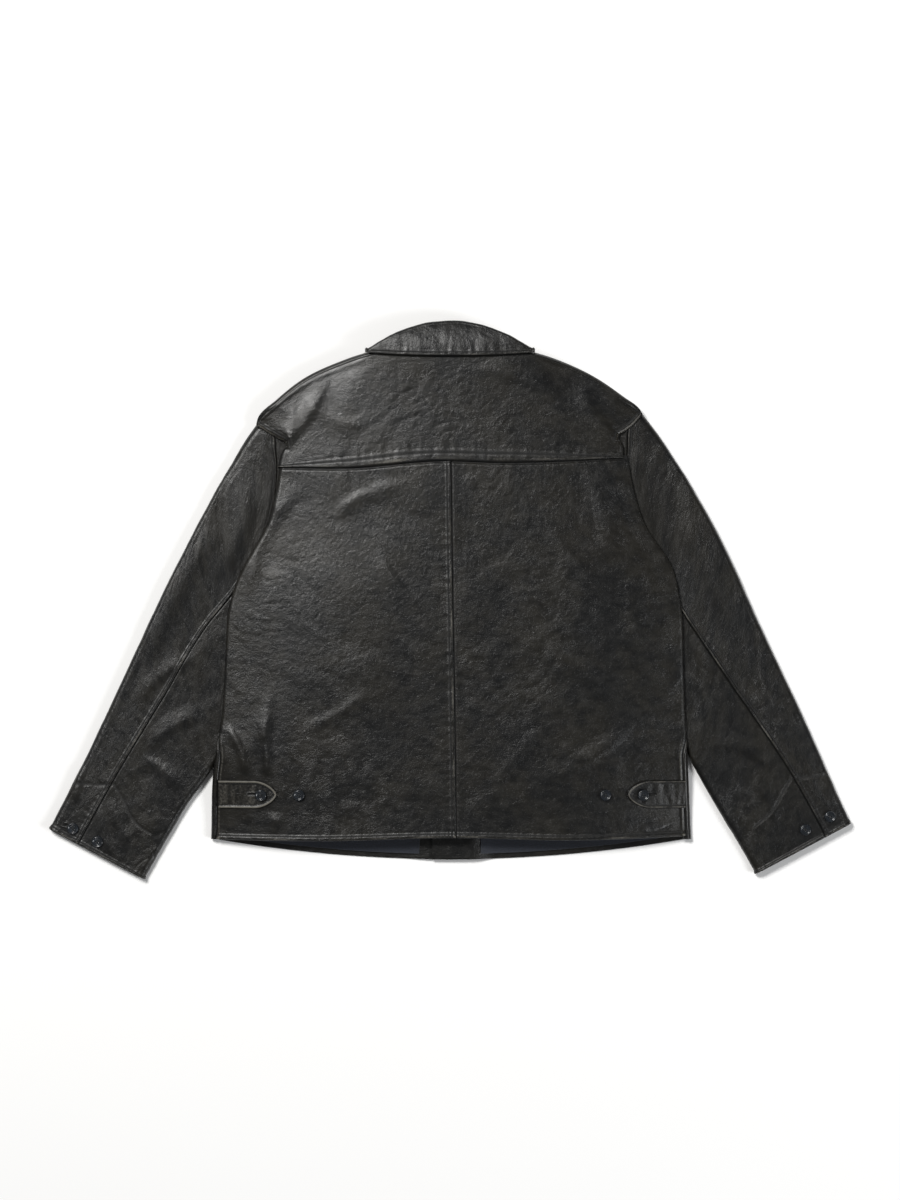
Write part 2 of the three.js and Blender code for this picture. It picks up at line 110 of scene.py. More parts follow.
def gradient_noise(x: Array, y: Array, seed: int) -> Array:
    """Smooth noise of about -0.7 to 0.7 with one feature per unit, the same on every run.

    Args:
        x: first coordinate, in features.
        y: second coordinate, in features.
        seed: number of the pattern.

    Returns:
        Noise at each point.
    """
    angles = np.random.default_rng(seed).random((256, 256)) * 2.0 * math.pi
    x, y = np.broadcast_arrays(np.asarray(x, float), np.asarray(y, float))
    xi, yi = np.floor(x).astype(int), np.floor(y).astype(int)
    xf, yf = x - xi, y - yi
    fade_x = xf * xf * xf * (xf * (xf * 6.0 - 15.0) + 10.0)
    fade_y = yf * yf * yf * (yf * (yf * 6.0 - 15.0) + 10.0)

    def corner(dx: int, dy: int) -> Array:
        """Slope of one lattice corner at each point."""
        angle = angles[(xi + dx) & 255, (yi + dy) & 255]
        return np.cos(angle) * (xf - dx) + np.sin(angle) * (yf - dy)

    low = corner(0, 0) * (1.0 - fade_x) + corner(1, 0) * fade_x
    high = corner(0, 1) * (1.0 - fade_x) + corner(1, 1) * fade_x
    return low * (1.0 - fade_y) + high * fade_y


def smooth_curve(points: Sequence[tuple[float, float]]) -> Callable[[Array], Array]:
    """Smooth curve through a few points, as a function of the first coordinate.

    Args:
        points: (input, output) pairs in rising order of the input.

    Returns:
        A function that gives the output at any input, level with the ends outside them.
    """
    xs = np.array([p[0] for p in points], float)
    ys = np.array([p[1] for p in points], float)
    slopes = np.gradient(ys, xs)

    def at(value: Array) -> Array:
        """Cubic between the two nearest points."""
        value = np.clip(np.asarray(value, float), xs[0], xs[-1])
        i = np.clip(np.searchsorted(xs, value) - 1, 0, len(xs) - 2)
        step = xs[i + 1] - xs[i]
        t = (value - xs[i]) / step
        h01 = t * t * (3.0 - 2.0 * t)
        h10 = t * (1.0 - t) ** 2 * step
        h11 = t * t * (t - 1.0) * step
        return ys[i] * (1.0 - h01) + ys[i + 1] * h01 + slopes[i] * h10 + slopes[i + 1] * h11

    return at


def graded(length: float, fine: float, coarse: float, zone: float) -> Array:
    """Positions from 0 to length, close together near both ends.

    Args:
        length: whole length.
        fine: step at the ends.
        coarse: step in the middle.
        zone: how far the fine steps reach.

    Returns:
        Rising positions that start at 0 and end at length.
    """
    at, out = 0.0, [0.0]
    while at < length - 1e-9:
        near = min(at, length - at)
        step = fine + (coarse - fine) * float(ramp(near, zone * 0.6, zone * 2.2))
        at = min(at + step, length)
        out.append(at)
    if len(out) > 2 and out[-1] - out[-2] < fine * 0.5:
        out.pop(-2)
    return np.array(out)


# ---------------------------------------------------------------- sheets of leather and cloth


@dataclass
class Sheet:
    """A grid of points on the outer face of a sheet, with what its material needs to know.

    Attributes:
        points: outer face, rows by columns by 3, in metres.
        lay: flat pattern coordinates of each point, rows by columns by 2, in metres.
        wear: rubbed and bare from 0 to 1, and below zero painted shade in grooves and beside lapped edges,
            per point.
        crease: how much the leather is crackled there, per point.
        flip: True when the grid's own normal points inwards.
    """

    points: Array
    lay: Array
    wear: Array
    crease: Array
    flip: bool = False

    def normals(self) -> Array:
        """Unit normals of the outer face at each grid point."""
        rows = np.gradient(self.points, axis=0)
        columns = np.gradient(self.points, axis=1)
        normal = np.cross(columns, rows)
        size = np.linalg.norm(normal, axis=-1, keepdims=True)
        normal = normal / np.maximum(size, 1e-12)
        return -normal if self.flip else normal

    def raised(self, height: Array) -> "Sheet":
        """The same sheet with each point moved along its normal.

        Args:
            height: distance per point.

        Returns:
            A new sheet.
        """
        moved = self.points + self.normals() * np.asarray(height)[..., None]
        return Sheet(moved, self.lay, self.wear, self.crease, self.flip)

    def sample(self, row: Array, column: Array) -> tuple[Array, Array]:
        """Points and normals between grid points.

        Args:
            row: row positions, fractions allowed.
            column: column positions, fractions allowed.

        Returns:
            Points and unit normals.
        """
        r = np.clip(row, 0, self.points.shape[0] - 1.001)
        c = np.clip(column, 0, self.points.shape[1] - 1.001)
        i, j = r.astype(int), c.astype(int)
        fr, fc = (r - i)[:, None], (c - j)[:, None]

        def mixed(grid: Array) -> Array:
            """Bilinear mix of a grid at the wanted places."""
            low = grid[i, j] * (1 - fc) + grid[i, j + 1] * fc
            high = grid[i + 1, j] * (1 - fc) + grid[i + 1, j + 1] * fc
            return low * (1 - fr) + high * fr

        normal = mixed(self.normals())
        return mixed(self.points), normal / np.linalg.norm(normal, axis=1, keepdims=True)

    def build(self, name: str, thickness: float) -> bpy.types.Object:
        """Makes the closed sheet: outer face, inner face and the rim between them.

        Args:
            name: name of the new object.
            thickness: thickness of the sheet, in metres.

        Returns:
            The object.
        """
        rows, columns = self.points.shape[:2]
        inner = self.points - self.normals() * thickness
        points = np.concatenate([self.points.reshape(-1, 3), inner.reshape(-1, 3)])
        index = np.arange(rows * columns).reshape(rows, columns)
        quads = np.stack([index[:-1, :-1], index[:-1, 1:], index[1:, 1:], index[1:, :-1]], -1)
        quads = quads.reshape(-1, 4)
        rim = np.concatenate([index[0], index[1:, -1], index[-1, -2::-1], index[-2::-1, 0]])
        behind = rim + rows * columns
        edge = np.stack([rim[:-1], behind[:-1], behind[1:], rim[1:]], -1)
        faces = np.concatenate([quads, quads[:, ::-1] + rows * columns, edge])
        if self.flip:
            faces = faces[:, ::-1]
        mesh = mesh_from(name, points, faces)
        lay = np.concatenate([self.lay.reshape(-1, 2)] * 2)
        add_uv(mesh, lay)
        for title, values in (("wear", self.wear), ("crease", self.crease)):
            both = np.concatenate([np.broadcast_to(values, (rows, columns)).ravel()] * 2)
            attribute = mesh.attributes.new(title, "FLOAT", "POINT")
            attribute.data.foreach_set("value", both.astype(np.float32))
        return link(name, mesh)


def mesh_from(name: str, points: Array, faces: Array) -> bpy.types.Mesh:
    """Makes a smooth mesh from points and faces that all have as many corners.

    Args:
        name: name of the mesh.
        points: n by 3 positions in metres.
        faces: m by k corner indices.

    Returns:
        The mesh.
    """
    mesh = bpy.data.meshes.new(name)
    count, sides = faces.shape
    mesh.vertices.add(len(points))
    mesh.vertices.foreach_set("co", np.ascontiguousarray(points, np.float32).ravel())
    mesh.loops.add(count * sides)
    mesh.loops.foreach_set("vertex_index", np.ascontiguousarray(faces, np.int32).ravel())
    mesh.polygons.add(count)
    mesh.polygons.foreach_set("loop_start", np.arange(0, count * sides, sides, dtype=np.int32))
    mesh.polygons.foreach_set("use_smooth", np.ones(count, bool))
    mesh.update(calc_edges=True)
    mesh.validate()
    return mesh


def add_uv(mesh: bpy.types.Mesh, lay: Array) -> None:
    """Gives a mesh its flat pattern coordinates as UVs, in metres.

    Args:
        mesh: mesh to change.
        lay: one pair per vertex.
    """
    corner = np.zeros(len(mesh.loops), np.int32)
    mesh.loops.foreach_get("vertex_index", corner)
    layer = mesh.uv_layers.new(name="pattern")
    layer.data.foreach_set("uv", lay[corner].astype(np.float32).ravel())


def link(name: str, mesh: bpy.types.Mesh) -> bpy.types.Object:
    """Puts a mesh in the scene as an object."""
    piece = bpy.data.objects.new(name, mesh)
    bpy.context.scene.collection.objects.link(piece)
    return piece


def coons(bottom: Array, top: Array, left: Array, right: Array) -> Array:
    """Fills the space between four border curves.

    Args:
        bottom: first row, columns by 2.
        top: last row, columns by 2.
        left: first column, rows by 2.
        right: last column, rows by 2.

    Returns:
        Plan positions, rows by columns by 2.
    """
    v = np.linspace(0, 1, len(left))[:, None, None]
    u = np.linspace(0, 1, len(bottom))[None, :, None]
    ruled = (1 - v) * bottom[None] + v * top[None]
    lofted = (1 - u) * left[:, None] + u * right[:, None]
    low = (1 - u) * bottom[0] + u * bottom[-1]
    high = (1 - u) * top[0] + u * top[-1]
    return ruled + lofted - ((1 - v) * low + v * high)


def resampled(points: Sequence[tuple[float, float]], count: int) -> Array:
    """Evenly spaced positions along a smooth line through a few points.

    Args:
        points: (x, y) pairs.
        count: how many positions.

    Returns:
        count by 2 positions.
    """
    given = np.array(points, float)
    along = np.concatenate([[0], np.cumsum(np.linalg.norm(np.diff(given, axis=0), axis=1))])
    dense = np.linspace(0, along[-1], 400)
    curves = [smooth_curve(list(zip(along, given[:, k])))(dense) for k in (0, 1)]
    line = np.stack(curves, 1)
    run = np.concatenate([[0], np.cumsum(np.linalg.norm(np.diff(line, axis=0), axis=1))])
    even = np.linspace(0, run[-1], count)
    return np.stack([np.interp(even, run, line[:, k]) for k in (0, 1)], 1)


def pattern_lay(points: Array) -> Array:
    """Flat pattern coordinates of a grid, measured along its middle row and column.

    Args:
        points: rows by columns by 3.

    Returns:
        rows by columns by 2, in metres.
    """
    rows, columns = points.shape[:2]
    across = np.linalg.norm(np.diff(points[rows // 2], axis=0), axis=1)
    along = np.linalg.norm(np.diff(points[:, columns // 2], axis=0), axis=1)
    u = np.concatenate([[0], np.cumsum(across)])
    v = np.concatenate([[0], np.cumsum(along)])
    return np.stack(np.meshgrid(u, v), -1)


@dataclass(frozen=True)
class Fold:
    """A soft fold across a panel.

    Attributes:
        start: (x, y) where it begins.
        end: (x, y) where it ends.
        bow: how far its middle bends sideways, in metres.
        height: height of its ridge, negative for a valley.
        width: half its width.
    """

    start: tuple[float, float]
    end: tuple[float, float]
    bow: float
    height: float
    width: float

    def at(self, x: Array, y: Array) -> Array:
        """Height that the fold adds at each place."""
        a, b = np.array(self.start), np.array(self.end)
        run = b - a
        length = float(np.linalg.norm(run))
        run = run / length
        along = ((x - a[0]) * run[0] + (y - a[1]) * run[1]) / length
        off = (x - a[0]) * -run[1] + (y - a[1]) * run[0]
        off = off - self.bow * np.sin(np.clip(along, 0, 1) * math.pi)
        fade = ramp(along, -0.12, 0.22) * (1 - ramp(along, 0.72, 1.12))
        steep = np.where(off > 0, off / self.width, off / (self.width * 0.55))
        return self.height * fade * np.exp(-0.5 * steep**2)


@dataclass(frozen=True)
class HideRelief:
    """How a hide has buckled and creased.

    Attributes:
        seed: number of the pattern, one per panel.
        broad: height of the slow swells.
        middle: height of the hand-sized buckles.
        crease: depth of the sharp creases.
        slant: direction that the creases run in, in radians from X.
    """

    seed: int
    broad: float = 0.0017
    middle: float = 0.0008
    crease: float = 0.00032
    slant: float = 0.7

    def apply(self, sheet: Sheet, extra: Optional[Array] = None, hold: Array | float = 1.0) -> Sheet:
        """Buckles a sheet and marks where it is crackled and rubbed.

        Args:
            sheet: smooth sheet.
            extra: further height per point, such as seams.
            hold: share of the buckles that is left, low where a seam holds the leather flat.

        Returns:
            The buckled sheet.
        """
        u, v = sheet.lay[..., 0], sheet.lay[..., 1]
        warp = gradient_noise(u / 0.06, v / 0.06, self.seed + 1) * 0.022
        turn_u = (u + warp) * math.cos(self.slant) + (v + warp) * math.sin(self.slant)
        turn_v = (v + warp) * math.cos(self.slant) - (u - warp) * math.sin(self.slant)
        x, y = sheet.points[..., 0], sheet.points[..., 1]
        swell = gradient_noise(x / 0.15 + 20, y / 0.20 + 20, 7)
        buckle = gradient_noise(turn_u / 0.085, turn_v / 0.034, self.seed + 3)
        small = gradient_noise(turn_u / 0.034, turn_v / 0.013, self.seed + 4)
        line = gradient_noise(turn_u / 0.062, turn_v / 0.021, self.seed + 5)
        fine = gradient_noise(turn_u / 0.021, turn_v / 0.0085, self.seed + 6)
        patch = 0.25 + 0.75 * ramp(gradient_noise(u / 0.11, v / 0.13, self.seed + 7), -0.15, 0.40)
        cut = np.exp(-((line / 0.05) ** 2)) * patch
        cut_fine = np.exp(-((fine / 0.07) ** 2)) * patch * patch
        detail = self.middle * (buckle + 0.35 * small * (0.3 + patch))
        detail = detail - self.crease * (cut + 0.5 * cut_fine)
        height = self.broad * swell + hold * detail
        if extra is not None:
            height = height + extra
        worn = 0.10 * ramp(buckle + 0.5 * small, 0.28, 0.75) * patch
        wear = np.clip(sheet.wear + worn, -1, 1)
        crease = np.clip(sheet.crease + patch, 0, 1)
        return Sheet(sheet.points, sheet.lay, wear, crease, sheet.flip).raised(height)


@dataclass(frozen=True)
class SeamShape:
    """A lapped and topstitched seam, seen in section from the lapped edge inwards.

    Attributes:
        width: from the edge to the row of stitches.
        height: how much the doubled leather stands up.
        groove: depth of the line that the stitches pull down.
        pucker: height of the ripples that run out of the stitches.
    """

    width: float = 0.0055
    height: float = 0.0014
    groove: float = 0.0008
    pucker: float = 0.0007

    def at(self, off: Array, along: Array, seed: int) -> Array:
        """Height that the seam adds.

        Args:
            off: distance from the lapped edge.
            along: distance along the seam.
            seed: number of the ripple pattern.

        Returns:
            Height per point.
        """
        pad = self.height * (1 - ramp(off, self.width * 0.86, self.width * 1.5))
        pull = self.groove * bump(off, self.width, 0.0008)
        fade = np.exp(-np.maximum(off - self.width, 0) / 0.011) * ramp(off, 0.001, 0.005)
        ripple = gradient_noise(along / 0.0085, off / 0.03, seed)
        ripple = ripple + 0.5 * gradient_noise(along / 0.0042, off / 0.02, seed + 1)
        return pad - pull + self.pucker * ripple * fade

    def rubbed(self, off: Array, along: Array, seed: int) -> Array:
        """How worn the seam's raised edge is, with painted shade below zero along the stitch line and at the
        foot of the lapped edge.
        """
        patchy = 0.36 + 1.0 * gradient_noise(along / 0.05, off / 0.05, seed)
        # Painted shade: dark lines along the stitch groove and at the foot of the lapped edge.
        painted_shade_lines = 0.9 * bump(off, self.width, 0.0007) + 0.5 * bump(off, 0.0, 0.0005)
        return bump(off, 0.0019, 0.0011) * np.clip(patchy, 0, 1) - painted_shade_lines


# ---------------------------------------------------------------- stitches


@dataclass(frozen=True)
class Thread:
    """A topstitch row of short thread capsules.

    Attributes:
        stitch: length of one stitch.
        space: hidden length between two stitches.
        radius: half the thread's thickness.
    """

    stitch: float = 0.0026
    space: float = 0.0009
    radius: float = 0.00034

    def row(self, line: Array, normal: Array) -> tuple[Array, Array]:
        """Capsules along a line on a surface.

        Args:
            line: points along the row.
            normal: surface normals at those points.

        Returns:
            Vertices and quad faces.
        """
        step = np.linalg.norm(np.diff(line, axis=0), axis=1)
        run = np.concatenate([[0], np.cumsum(step)])
        pitch = self.stitch + self.space
        starts = np.arange(0.0, max(run[-1] - self.stitch, 0.0) + 1e-9, pitch)
        spots = starts[:, None] + self.stitch * np.array([0.0, 0.18, 0.5, 0.82, 1.0])[None]

        def on(grid: Array) -> Array:
            """Values of a per-point grid at the stitch sections."""
            return np.stack([np.interp(spots, run, grid[:, k]) for k in range(3)], -1)

        centre, up = on(line), on(normal)
        up /= np.linalg.norm(up, axis=-1, keepdims=True)
        ahead = np.gradient(centre, axis=1)
        ahead /= np.maximum(np.linalg.norm(ahead, axis=-1, keepdims=True), 1e-12)
        side = np.cross(ahead, up)
        girth = self.radius * np.array([0.25, 0.85, 1.0, 0.85, 0.25])[None, :, None, None]
        lift = self.radius * np.array([-0.9, 0.25, 0.6, 0.25, -0.9])[None, :, None]
        angle = np.arange(5) * 2 * math.pi / 5
        ring = (
            np.cos(angle)[None, None, :, None] * side[:, :, None]
            + np.sin(angle)[None, None, :, None] * up[:, :, None]
        )
        points = (centre + up * lift)[:, :, None] + ring * girth
        count = len(starts)
        index = np.arange(count * 25).reshape(count, 5, 5)
        nxt = np.roll(index, -1, axis=2)
        sides = np.stack([index[:, :-1], nxt[:, :-1], nxt[:, 1:], index[:, 1:]], -1).reshape(-1, 4)
        cap_a = index[:, 0, [0, 4, 3, 2]].reshape(-1, 4)
        cap_b = index[:, 4, [0, 1, 2, 3]].reshape(-1, 4)
        return points.reshape(-1, 3), np.concatenate([sides, cap_a, cap_b])


def stitched(name: str, rows: Sequence[tuple[Array, Array]]) -> bpy.types.Object:
    """Joins topstitch rows into one piece.

    Args:
        name: name of the piece.
        rows: for each row, its points and the surface normals there.

    Returns:
        The piece.
    """
    thread = Thread()
    points, faces, base = [], [], 0
    for line, normal in rows:
        made, quads = thread.row(line, normal)
        points.append(made)
        faces.append(quads + base)
        base += len(made)
    return link(name, mesh_from(name, np.concatenate(points), np.concatenate(faces)))


# ---------------------------------------------------------------- shader building


class Graph:
    """Adds and joins shader nodes in one node tree."""

    def __init__(self, tree: bpy.types.NodeTree) -> None:
        """Starts on a node tree."""
        self.tree = tree

    def add(self, kind: str, inputs: dict, out: int | str = 0, **settings: object) -> object:
        """Adds a node and fills its inputs.

        Args:
            kind: node type without the ShaderNode prefix.
            inputs: value or output socket for each input, by name or index.
            out: name or index of the output to hand back.
            **settings: the node's own settings.

        Returns:
            The output socket.
        """
        node = self.tree.nodes.new("ShaderNode" + kind)
        for name, value in settings.items():
            setattr(node, name, value)
        for key, value in inputs.items():
            if isinstance(value, bpy.types.NodeSocket):
                self.tree.links.new(value, node.inputs[key])
            else:
                node.inputs[key].default_value = value
        return node.outputs[out] if len(node.outputs) else node

    def math(self, operation: str, a: object, b: object = 0.0, c: object = 0.0) -> object:
        """Adds a Math node."""
        return self.add("Math", {0: a, 1: b, 2: c}, operation=operation)

    def noise(self, where: object, scale: float, detail: float = 3.0, rough: float = 0.5) -> object:
        """Adds a noise value from 0 to 1, with scale in features per millimetre."""
        settings = {"Vector": where, "Scale": scale, "Detail": detail, "Roughness": rough}
        return self.add("TexNoise", settings)

    def cells(self, where: object, scale: object, feature: str) -> object:
        """Adds a Voronoi distance."""
        return self.add("TexVoronoi", {"Vector": where, "Scale": scale}, "Distance", feature=feature)

    def span(self, value: object, low: float, high: float, to: tuple = (0.0, 1.0)) -> object:
        """Maps a value smoothly between two ends."""
        ends = {"Value": value, "From Min": low, "From Max": high, "To Min": to[0], "To Max": to[1]}
        return self.add("MapRange", ends, interpolation_type="SMOOTHSTEP")

    def blend(self, share: object, first: object, second: object) -> object:
        """Mixes two colours."""
        return self.add("Mix", {0: share, 6: first, 7: second}, 2, data_type="RGBA")

    def bump(self, height: object, depth: float, strength: float = 1.0, under: object = None) -> object:
        """Adds a bump, on top of another one where that is given."""
        inputs = {"Strength": strength, "Distance": depth, "Height": height}
        if under is not None:
            inputs["Normal"] = under
        return self.add("Bump", inputs)


def colour(code: str) -> tuple[float, float, float, float]:
    """Linear colour of a hex code."""
    parts = [int(code[i : i + 2], 16) / 255.0 for i in (0, 2, 4)]
    linear = [c / 12.92 if c <= 0.04045 else ((c + 0.055) / 1.055) ** 2.4 for c in parts]
    return (*linear, 1.0)


class SharedGroup:
    """A shader node group with named sockets, built once and used by several finishes."""

    def __init__(self, name: str, inputs: dict[str, object], outputs: Sequence[str]) -> None:
        """Makes the empty group.

        Args:
            name: name of the group.
            inputs: default value of each input; None marks a vector.
            outputs: names of its value outputs.
        """
        self.tree = bpy.data.node_groups.new(name, "ShaderNodeTree")
        for title, value in inputs.items():
            kind = "NodeSocketVector" if value is None else "NodeSocketFloat"
            made = self.tree.interface.new_socket(name=title, in_out="INPUT", socket_type=kind)
            if value is not None:
                made.default_value = value
        for title in outputs:
            self.tree.interface.new_socket(name=title, in_out="OUTPUT", socket_type="NodeSocketFloat")
        self.graph = Graph(self.tree)
        self.inside = self.tree.nodes.new("NodeGroupInput").outputs
        self.result = self.tree.nodes.new("NodeGroupOutput").inputs

    def give(self, title: str, value: object) -> None:
        """Joins a socket to one of the group's outputs."""
        self.tree.links.new(value, self.result[title])

    def place(self, graph: Graph, inputs: dict) -> dict[str, object]:
        """Places the group in a material.

        Args:
            graph: the material's nodes.
            inputs: values or sockets for its inputs.

        Returns:
            The group's output sockets by name.
        """
        node = graph.tree.nodes.new("ShaderNodeGroup")
        node.node_tree = self.tree
        for key, value in inputs.items():
            if isinstance(value, bpy.types.NodeSocket):
                graph.tree.links.new(value, node.inputs[key])
            else:
                node.inputs[key].default_value = value
        return {socket.name: socket for socket in node.outputs}


def hide_grain() -> SharedGroup:
    """Leather grain: pebbles, pores, crackle lines and slow mottling."""
    group = SharedGroup(
        "hide grain",
        {"Lay": None, "Pebble": 0.9, "Crackle": 0.0},
        ("Grain", "Lines", "Mottle", "Streak", "Buckle"),
    )
    g = group.graph
    inside = group.inside
    flat = g.add("VectorMath", {0: inside["Lay"], "Scale": 1000.0}, operation="SCALE")
    stir = g.add("TexNoise", {"Vector": flat, "Scale": 0.22, "Detail": 2.0}, "Color")
    stirred = g.add("VectorMath", {0: stir, 1: (3.0, 3.0, 3.0), 2: flat}, operation="MULTIPLY_ADD")
    frequency = g.math("DIVIDE", 1.0, inside["Pebble"])
    pebble = g.cells(stirred, frequency, "F1")
    pores = g.noise(flat, 2.4, 2.0)
    pebbles = g.math("MULTIPLY_ADD", pebble, -0.7, 1.0)
    group.give("Grain", g.math("MULTIPLY_ADD", pores, 0.45, pebbles))
    slanted = g.add("Mapping", {"Vector": stirred, "Rotation": (0, 0, 0.7), "Scale": (0.5, 1.0, 1.0)})
    wide = g.span(g.cells(slanted, 0.20, "DISTANCE_TO_EDGE"), 0.0, 0.13)
    narrow = g.span(g.cells(slanted, 0.55, "DISTANCE_TO_EDGE"), 0.0, 0.16)
    both = g.math("MULTIPLY", wide, g.math("MULTIPLY_ADD", narrow, 0.6, 0.4))
    depth = g.math("SUBTRACT", 1.0, both)
    broken = g.span(g.noise(flat, 0.05, 3.0), 0.42, 0.62)
    group.give("Lines", g.math("MULTIPLY", depth, g.math("MULTIPLY", inside["Crackle"], broken)))
    group.give("Mottle", g.span(g.noise(flat, 0.012, 5.0, 0.6), 0.34, 0.68))
    thin = g.add("Mapping", {"Vector": flat, "Rotation": (0, 0, 0.6), "Scale": (0.6, 1.0, 1.0)})
    group.give("Streak", g.noise(thin, 0.09, 4.0, 0.62))
    group.give("Buckle", g.noise(stirred, 0.13, 5.0, 0.62))
    return group


def rub_off() -> SharedGroup:
    """Edge wear: a patchy mask of where the finish has rubbed away."""
    group = SharedGroup("rub off", {"Lay": None, "Wear": 0.0, "Reach": 1.0}, ("Mask",))
    g = group.graph
    flat = g.add("VectorMath", {0: group.inside["Lay"], "Scale": 1000.0}, operation="SCALE")
    patch = g.noise(flat, 0.35, 4.0, 0.65)
    amount = g.math("MULTIPLY", group.inside["Wear"], group.inside["Reach"])
    torn = g.math("MULTIPLY_ADD", patch, 0.9, g.math("SUBTRACT", amount, 0.45))
    seen = g.span(torn, 0.25, 0.95)
    group.give("Mask", g.math("MULTIPLY", seen, g.span(amount, 0.02, 0.25)))
    return group


def woven_fuzz() -> SharedGroup:
    """Cloth: crossing threads under a felted nap."""
    group = SharedGroup("woven fuzz", {"Lay": None, "Thread": 0.5, "Nap": 0.5}, ("Height", "Fleck"))
    g = group.graph
    flat = g.add("VectorMath", {0: group.inside["Lay"], "Scale": 1000.0}, operation="SCALE")
    sized = g.math("DIVIDE", 1.0, group.inside["Thread"])
    spread = g.add("VectorMath", {0: flat, "Scale": sized}, operation="SCALE")
    warp = g.add("TexWave", {"Vector": spread, "Scale": 0.32, "Distortion": 1.2}, "Fac")
    weft = g.add(
        "TexWave", {"Vector": spread, "Scale": 0.32, "Distortion": 1.2}, "Fac", bands_direction="Y"
    )
    cloth = g.math("MULTIPLY", warp, weft)
    nap = g.noise(flat, 1.6, 4.0, 0.7)
    group.give("Height", g.add("Mix", {0: group.inside["Nap"], 2: cloth, 3: nap}, 0))
    group.give("Fleck", g.span(g.noise(flat, 0.8, 3.0), 0.38, 0.66))
    return group


# ---------------------------------------------------------------- finishes


class Groups:
    """The shared shader groups, made once."""

    grain: SharedGroup
    rub: SharedGroup
    cloth: SharedGroup

    @classmethod
    def make(cls) -> None:
        """Builds every group."""
        cls.grain = hide_grain()
        cls.rub = rub_off()
        cls.cloth = woven_fuzz()


def started(name: str) -> tuple[bpy.types.Material, Graph, object]:
    """An empty node material.

    Args:
        name: name of the material.

    Returns:
        The material, its graph and its surface input.
    """
    material = bpy.data.materials.new(name)
    material.use_nodes = True
    material.node_tree.nodes.clear()
    graph = Graph(material.node_tree)
    end = material.node_tree.nodes.new("ShaderNodeOutputMaterial")
    return material, graph, end.inputs["Surface"]


@dataclass(frozen=True)
class Leather:
    """Aged black leather with a warm cast.

    Attributes:
        name: name of the material.
        deep: colour of the untouched finish.
        warm: colour where the finish has thinned.
        bare: colour where it has rubbed off.
        groove: near-black colour of the painted shade in stitch lines, buttonhole slits and beside lapped
            edges.
        pebble: size of the grain, in millimetres.
        gloss: lowest and highest roughness.
        reach: how easily the edges show wear.
    """

    name: str = "black leather"
    deep: str = "08090a"
    warm: str = "181611"
    bare: str = "5c5952"
    groove: str = "030303"
    pebble: float = 0.85
    gloss: tuple[float, float] = (0.27, 0.47)
    reach: float = 1.0

    def material(self) -> bpy.types.Material:
        """Makes the material."""
        material, g, surface = started(self.name)
        lay = g.add("UVMap", {}, uv_map="pattern")
        wear = g.add("Attribute", {}, "Fac", attribute_name="wear")
        crease = g.add("Attribute", {}, "Fac", attribute_name="crease")
        grain = Groups.grain.place(g, {"Lay": lay, "Pebble": self.pebble, "Crackle": crease})
        rub = Groups.rub.place(g, {"Lay": lay, "Wear": wear, "Reach": self.reach})["Mask"]
        tint = g.math("MULTIPLY_ADD", grain["Streak"], 0.7, g.math("MULTIPLY", grain["Mottle"], 0.5))
        base = g.blend(g.span(tint, 0.25, 0.95), colour(self.deep), colour(self.warm))
        base = g.blend(g.math("MULTIPLY", grain["Lines"], 0.30), base, colour(self.deep))
        base = g.blend(rub, base, colour(self.bare))
        # Painted shade: where the wear attribute is below zero (stitch lines, slits, lapped edges) the colour
        # goes to near black and the surface is rougher.
        painted_shade = g.math("MULTIPLY", g.math("MINIMUM", wear, 0.0), -1.0)
        base = g.blend(painted_shade, base, colour(self.groove))
        dull = g.math("MULTIPLY_ADD", grain["Lines"], 0.25, grain["Streak"])
        dull = g.math("MULTIPLY_ADD", rub, 0.5, dull)
        rough = g.math("MULTIPLY_ADD", painted_shade, 0.5, g.span(dull, 0.2, 1.0, self.gloss))
        raised = g.bump(g.math("MULTIPLY", grain["Lines"], -1.0), 0.00017, 0.9)
        raised = g.bump(grain["Buckle"], 0.0008, 0.8, raised)
        raised = g.bump(grain["Grain"], 0.00013, 0.9, raised)
        shader = {
            "Base Color": base,
            "Roughness": rough,
            "Normal": raised,
            "Specular IOR Level": 0.38,
            "Coat Weight": 0.08,
            "Coat Roughness": 0.28,
        }
        g.tree.links.new(g.add("BsdfPrincipled", shader), surface)
        return material


@dataclass(frozen=True)
class Cloth:
    """Woven or felted cloth.

    Attributes:
        name: name of the material.
        ground: main colour.
        fleck: colour of its paler fibres.
        thread: width of a thread, in millimetres.
        nap: share of felted nap over weave.
        depth: height of its texture, in metres.
    """

    name: str
    ground: str
    fleck: str
    thread: float
    nap: float
    depth: float

    def material(self) -> bpy.types.Material:
        """Makes the material."""
        material, g, surface = started(self.name)
        lay = g.add("UVMap", {}, uv_map="pattern")
        cloth = Groups.cloth.place(g, {"Lay": lay, "Thread": self.thread, "Nap": self.nap})
        share = g.math("MULTIPLY", cloth["Fleck"], cloth["Height"])
        base = g.blend(share, colour(self.ground), colour(self.fleck))
        shader = {
            "Base Color": base,
            "Roughness": 0.95,
            "Sheen Weight": 0.25,
            "Sheen Roughness": 0.6,
            "Normal": g.bump(cloth["Height"], self.depth),
        }
        g.tree.links.new(g.add("BsdfPrincipled", shader), surface)
        return material


